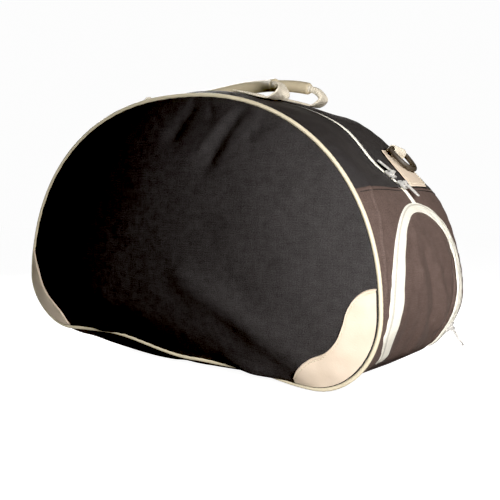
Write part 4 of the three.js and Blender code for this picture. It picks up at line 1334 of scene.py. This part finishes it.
zip_aside = read_table(ZIP_SHOWN, zip_line) + ZIP_ROW_ASIDE
black_rows = [
    gusset_row(zip_line, main_zip_depth(zip_line) + side * zip_aside, BLACK_ROW_OUT) for side in (-1, 1)
]
for row_from, row_to in END_ROWS:
    end_line = np.linspace(row_from, row_to, 90)
    black_rows.append(gusset_row(np.full_like(end_line, END_ROW_STATION), end_line, BLACK_ROW_OUT))
add_stitches("black_stitches", black_rows, black_thread)

# Floor, light and camera, in metres: the share of light that shows as black, and the camera's place
BLACK_LEVEL = 0.037
CAMERA_PLACE = (0.5869, -0.8045, 0.1941)
CAMERA_TARGET = (0.0235, 0.0, 0.134)

# Lights: name, place, target, power in watts, colour, width, spread in degrees
LIGHTS = (
    ("key", (0.94, -0.8, 0.42), (0.3, -0.05, 0.11), 84.0, (1.0, 0.97, 0.94), 0.45, 62.0),
    ("fill", (-0.2, -1.3, 0.5), (-0.05, 0.0, 0.12), 6.5, (0.9, 1.0, 0.95), 1.0, 70.0),
    ("back", (-1.1, 1.0, 0.7), (-0.05, 0.05, 0.14), 170.0, (1.0, 0.98, 0.95), 0.8, 66.0),
    ("kick", (1.1, 0.1, 0.9), (0.222, 0.066, 0.225), 70.0, (1.0, 0.98, 0.95), 0.3, 10.0),
)


def camera_glow(tree, socket, glow, light):
    path = tree.nodes.new("ShaderNodeLightPath")
    total = tree.nodes.new("ShaderNodeMath")
    total.operation = "MULTIPLY_ADD"
    total.inputs[1].default_value = glow
    total.inputs[2].default_value = light
    tree.links.new(path.outputs["Is Camera Ray"], total.inputs[0])
    tree.links.new(total.outputs[0], socket)


def add_floor():
    size = 4.0
    mesh = bpy.data.meshes.new("floor")
    corners = [(-size, -size, 0), (size, -size, 0), (size, size, 0), (-size, size, 0)]
    mesh.from_pydata(corners, [], [(0, 1, 2, 3)])
    floor = bpy.data.objects.new("floor", mesh)
    bpy.context.scene.collection.objects.link(floor)
    material = bpy.data.materials.new("pale floor")
    material.use_nodes = True
    shader = material.node_tree.nodes["Principled BSDF"]
    shader.inputs["Base Color"].default_value = (0.46, 0.46, 0.46, 1)
    shader.inputs["Roughness"].default_value = 0.9
    shader.inputs["Emission Color"].default_value = (1, 1, 1, 1)
    camera_glow(material.node_tree, shader.inputs["Emission Strength"], glow=0.96, light=0.0)
    mesh.materials.append(material)


def add_world():
    world = bpy.data.worlds.new("studio")
    world.use_nodes = True
    sky = world.node_tree.nodes["Background"]
    sky.inputs["Color"].default_value = (1, 1, 1, 1)
    camera_glow(world.node_tree, sky.inputs["Strength"], glow=0.95, light=0.03)
    bpy.context.scene.world = world


def add_aimed(name, data, place, target):
    piece = bpy.data.objects.new(name, data)
    piece.location = place
    piece.rotation_euler = (Vector(target) - Vector(place)).to_track_quat("-Z", "Y").to_euler()
    bpy.context.scene.collection.objects.link(piece)
    return piece


def add_light(name, place, target, power, colour, width, spread):
    light = bpy.data.lights.new(name, "SPOT")
    light.shadow_soft_size = width / 2
    light.spot_size = math.radians(spread)
    light.spot_blend = 1.0
    light.energy = power
    light.color = colour
    add_aimed(name, light, place, target)


def add_camera():
    camera = bpy.data.cameras.new("photo camera")
    camera.lens = 58.0
    camera.sensor_width = 36.0
    bpy.context.scene.camera = add_aimed("photo camera", camera, CAMERA_PLACE, CAMERA_TARGET)


def set_tones():
    tones = bpy.context.scene.view_settings
    tones.view_transform = "Standard"
    tones.use_curve_mapping = True
    tones.curve_mapping.black_level = (BLACK_LEVEL, BLACK_LEVEL, BLACK_LEVEL)
    tones.curve_mapping.update()


add_floor()
add_world()
for lamp in LIGHTS:
    add_light(*lamp)
add_camera()
set_tones()
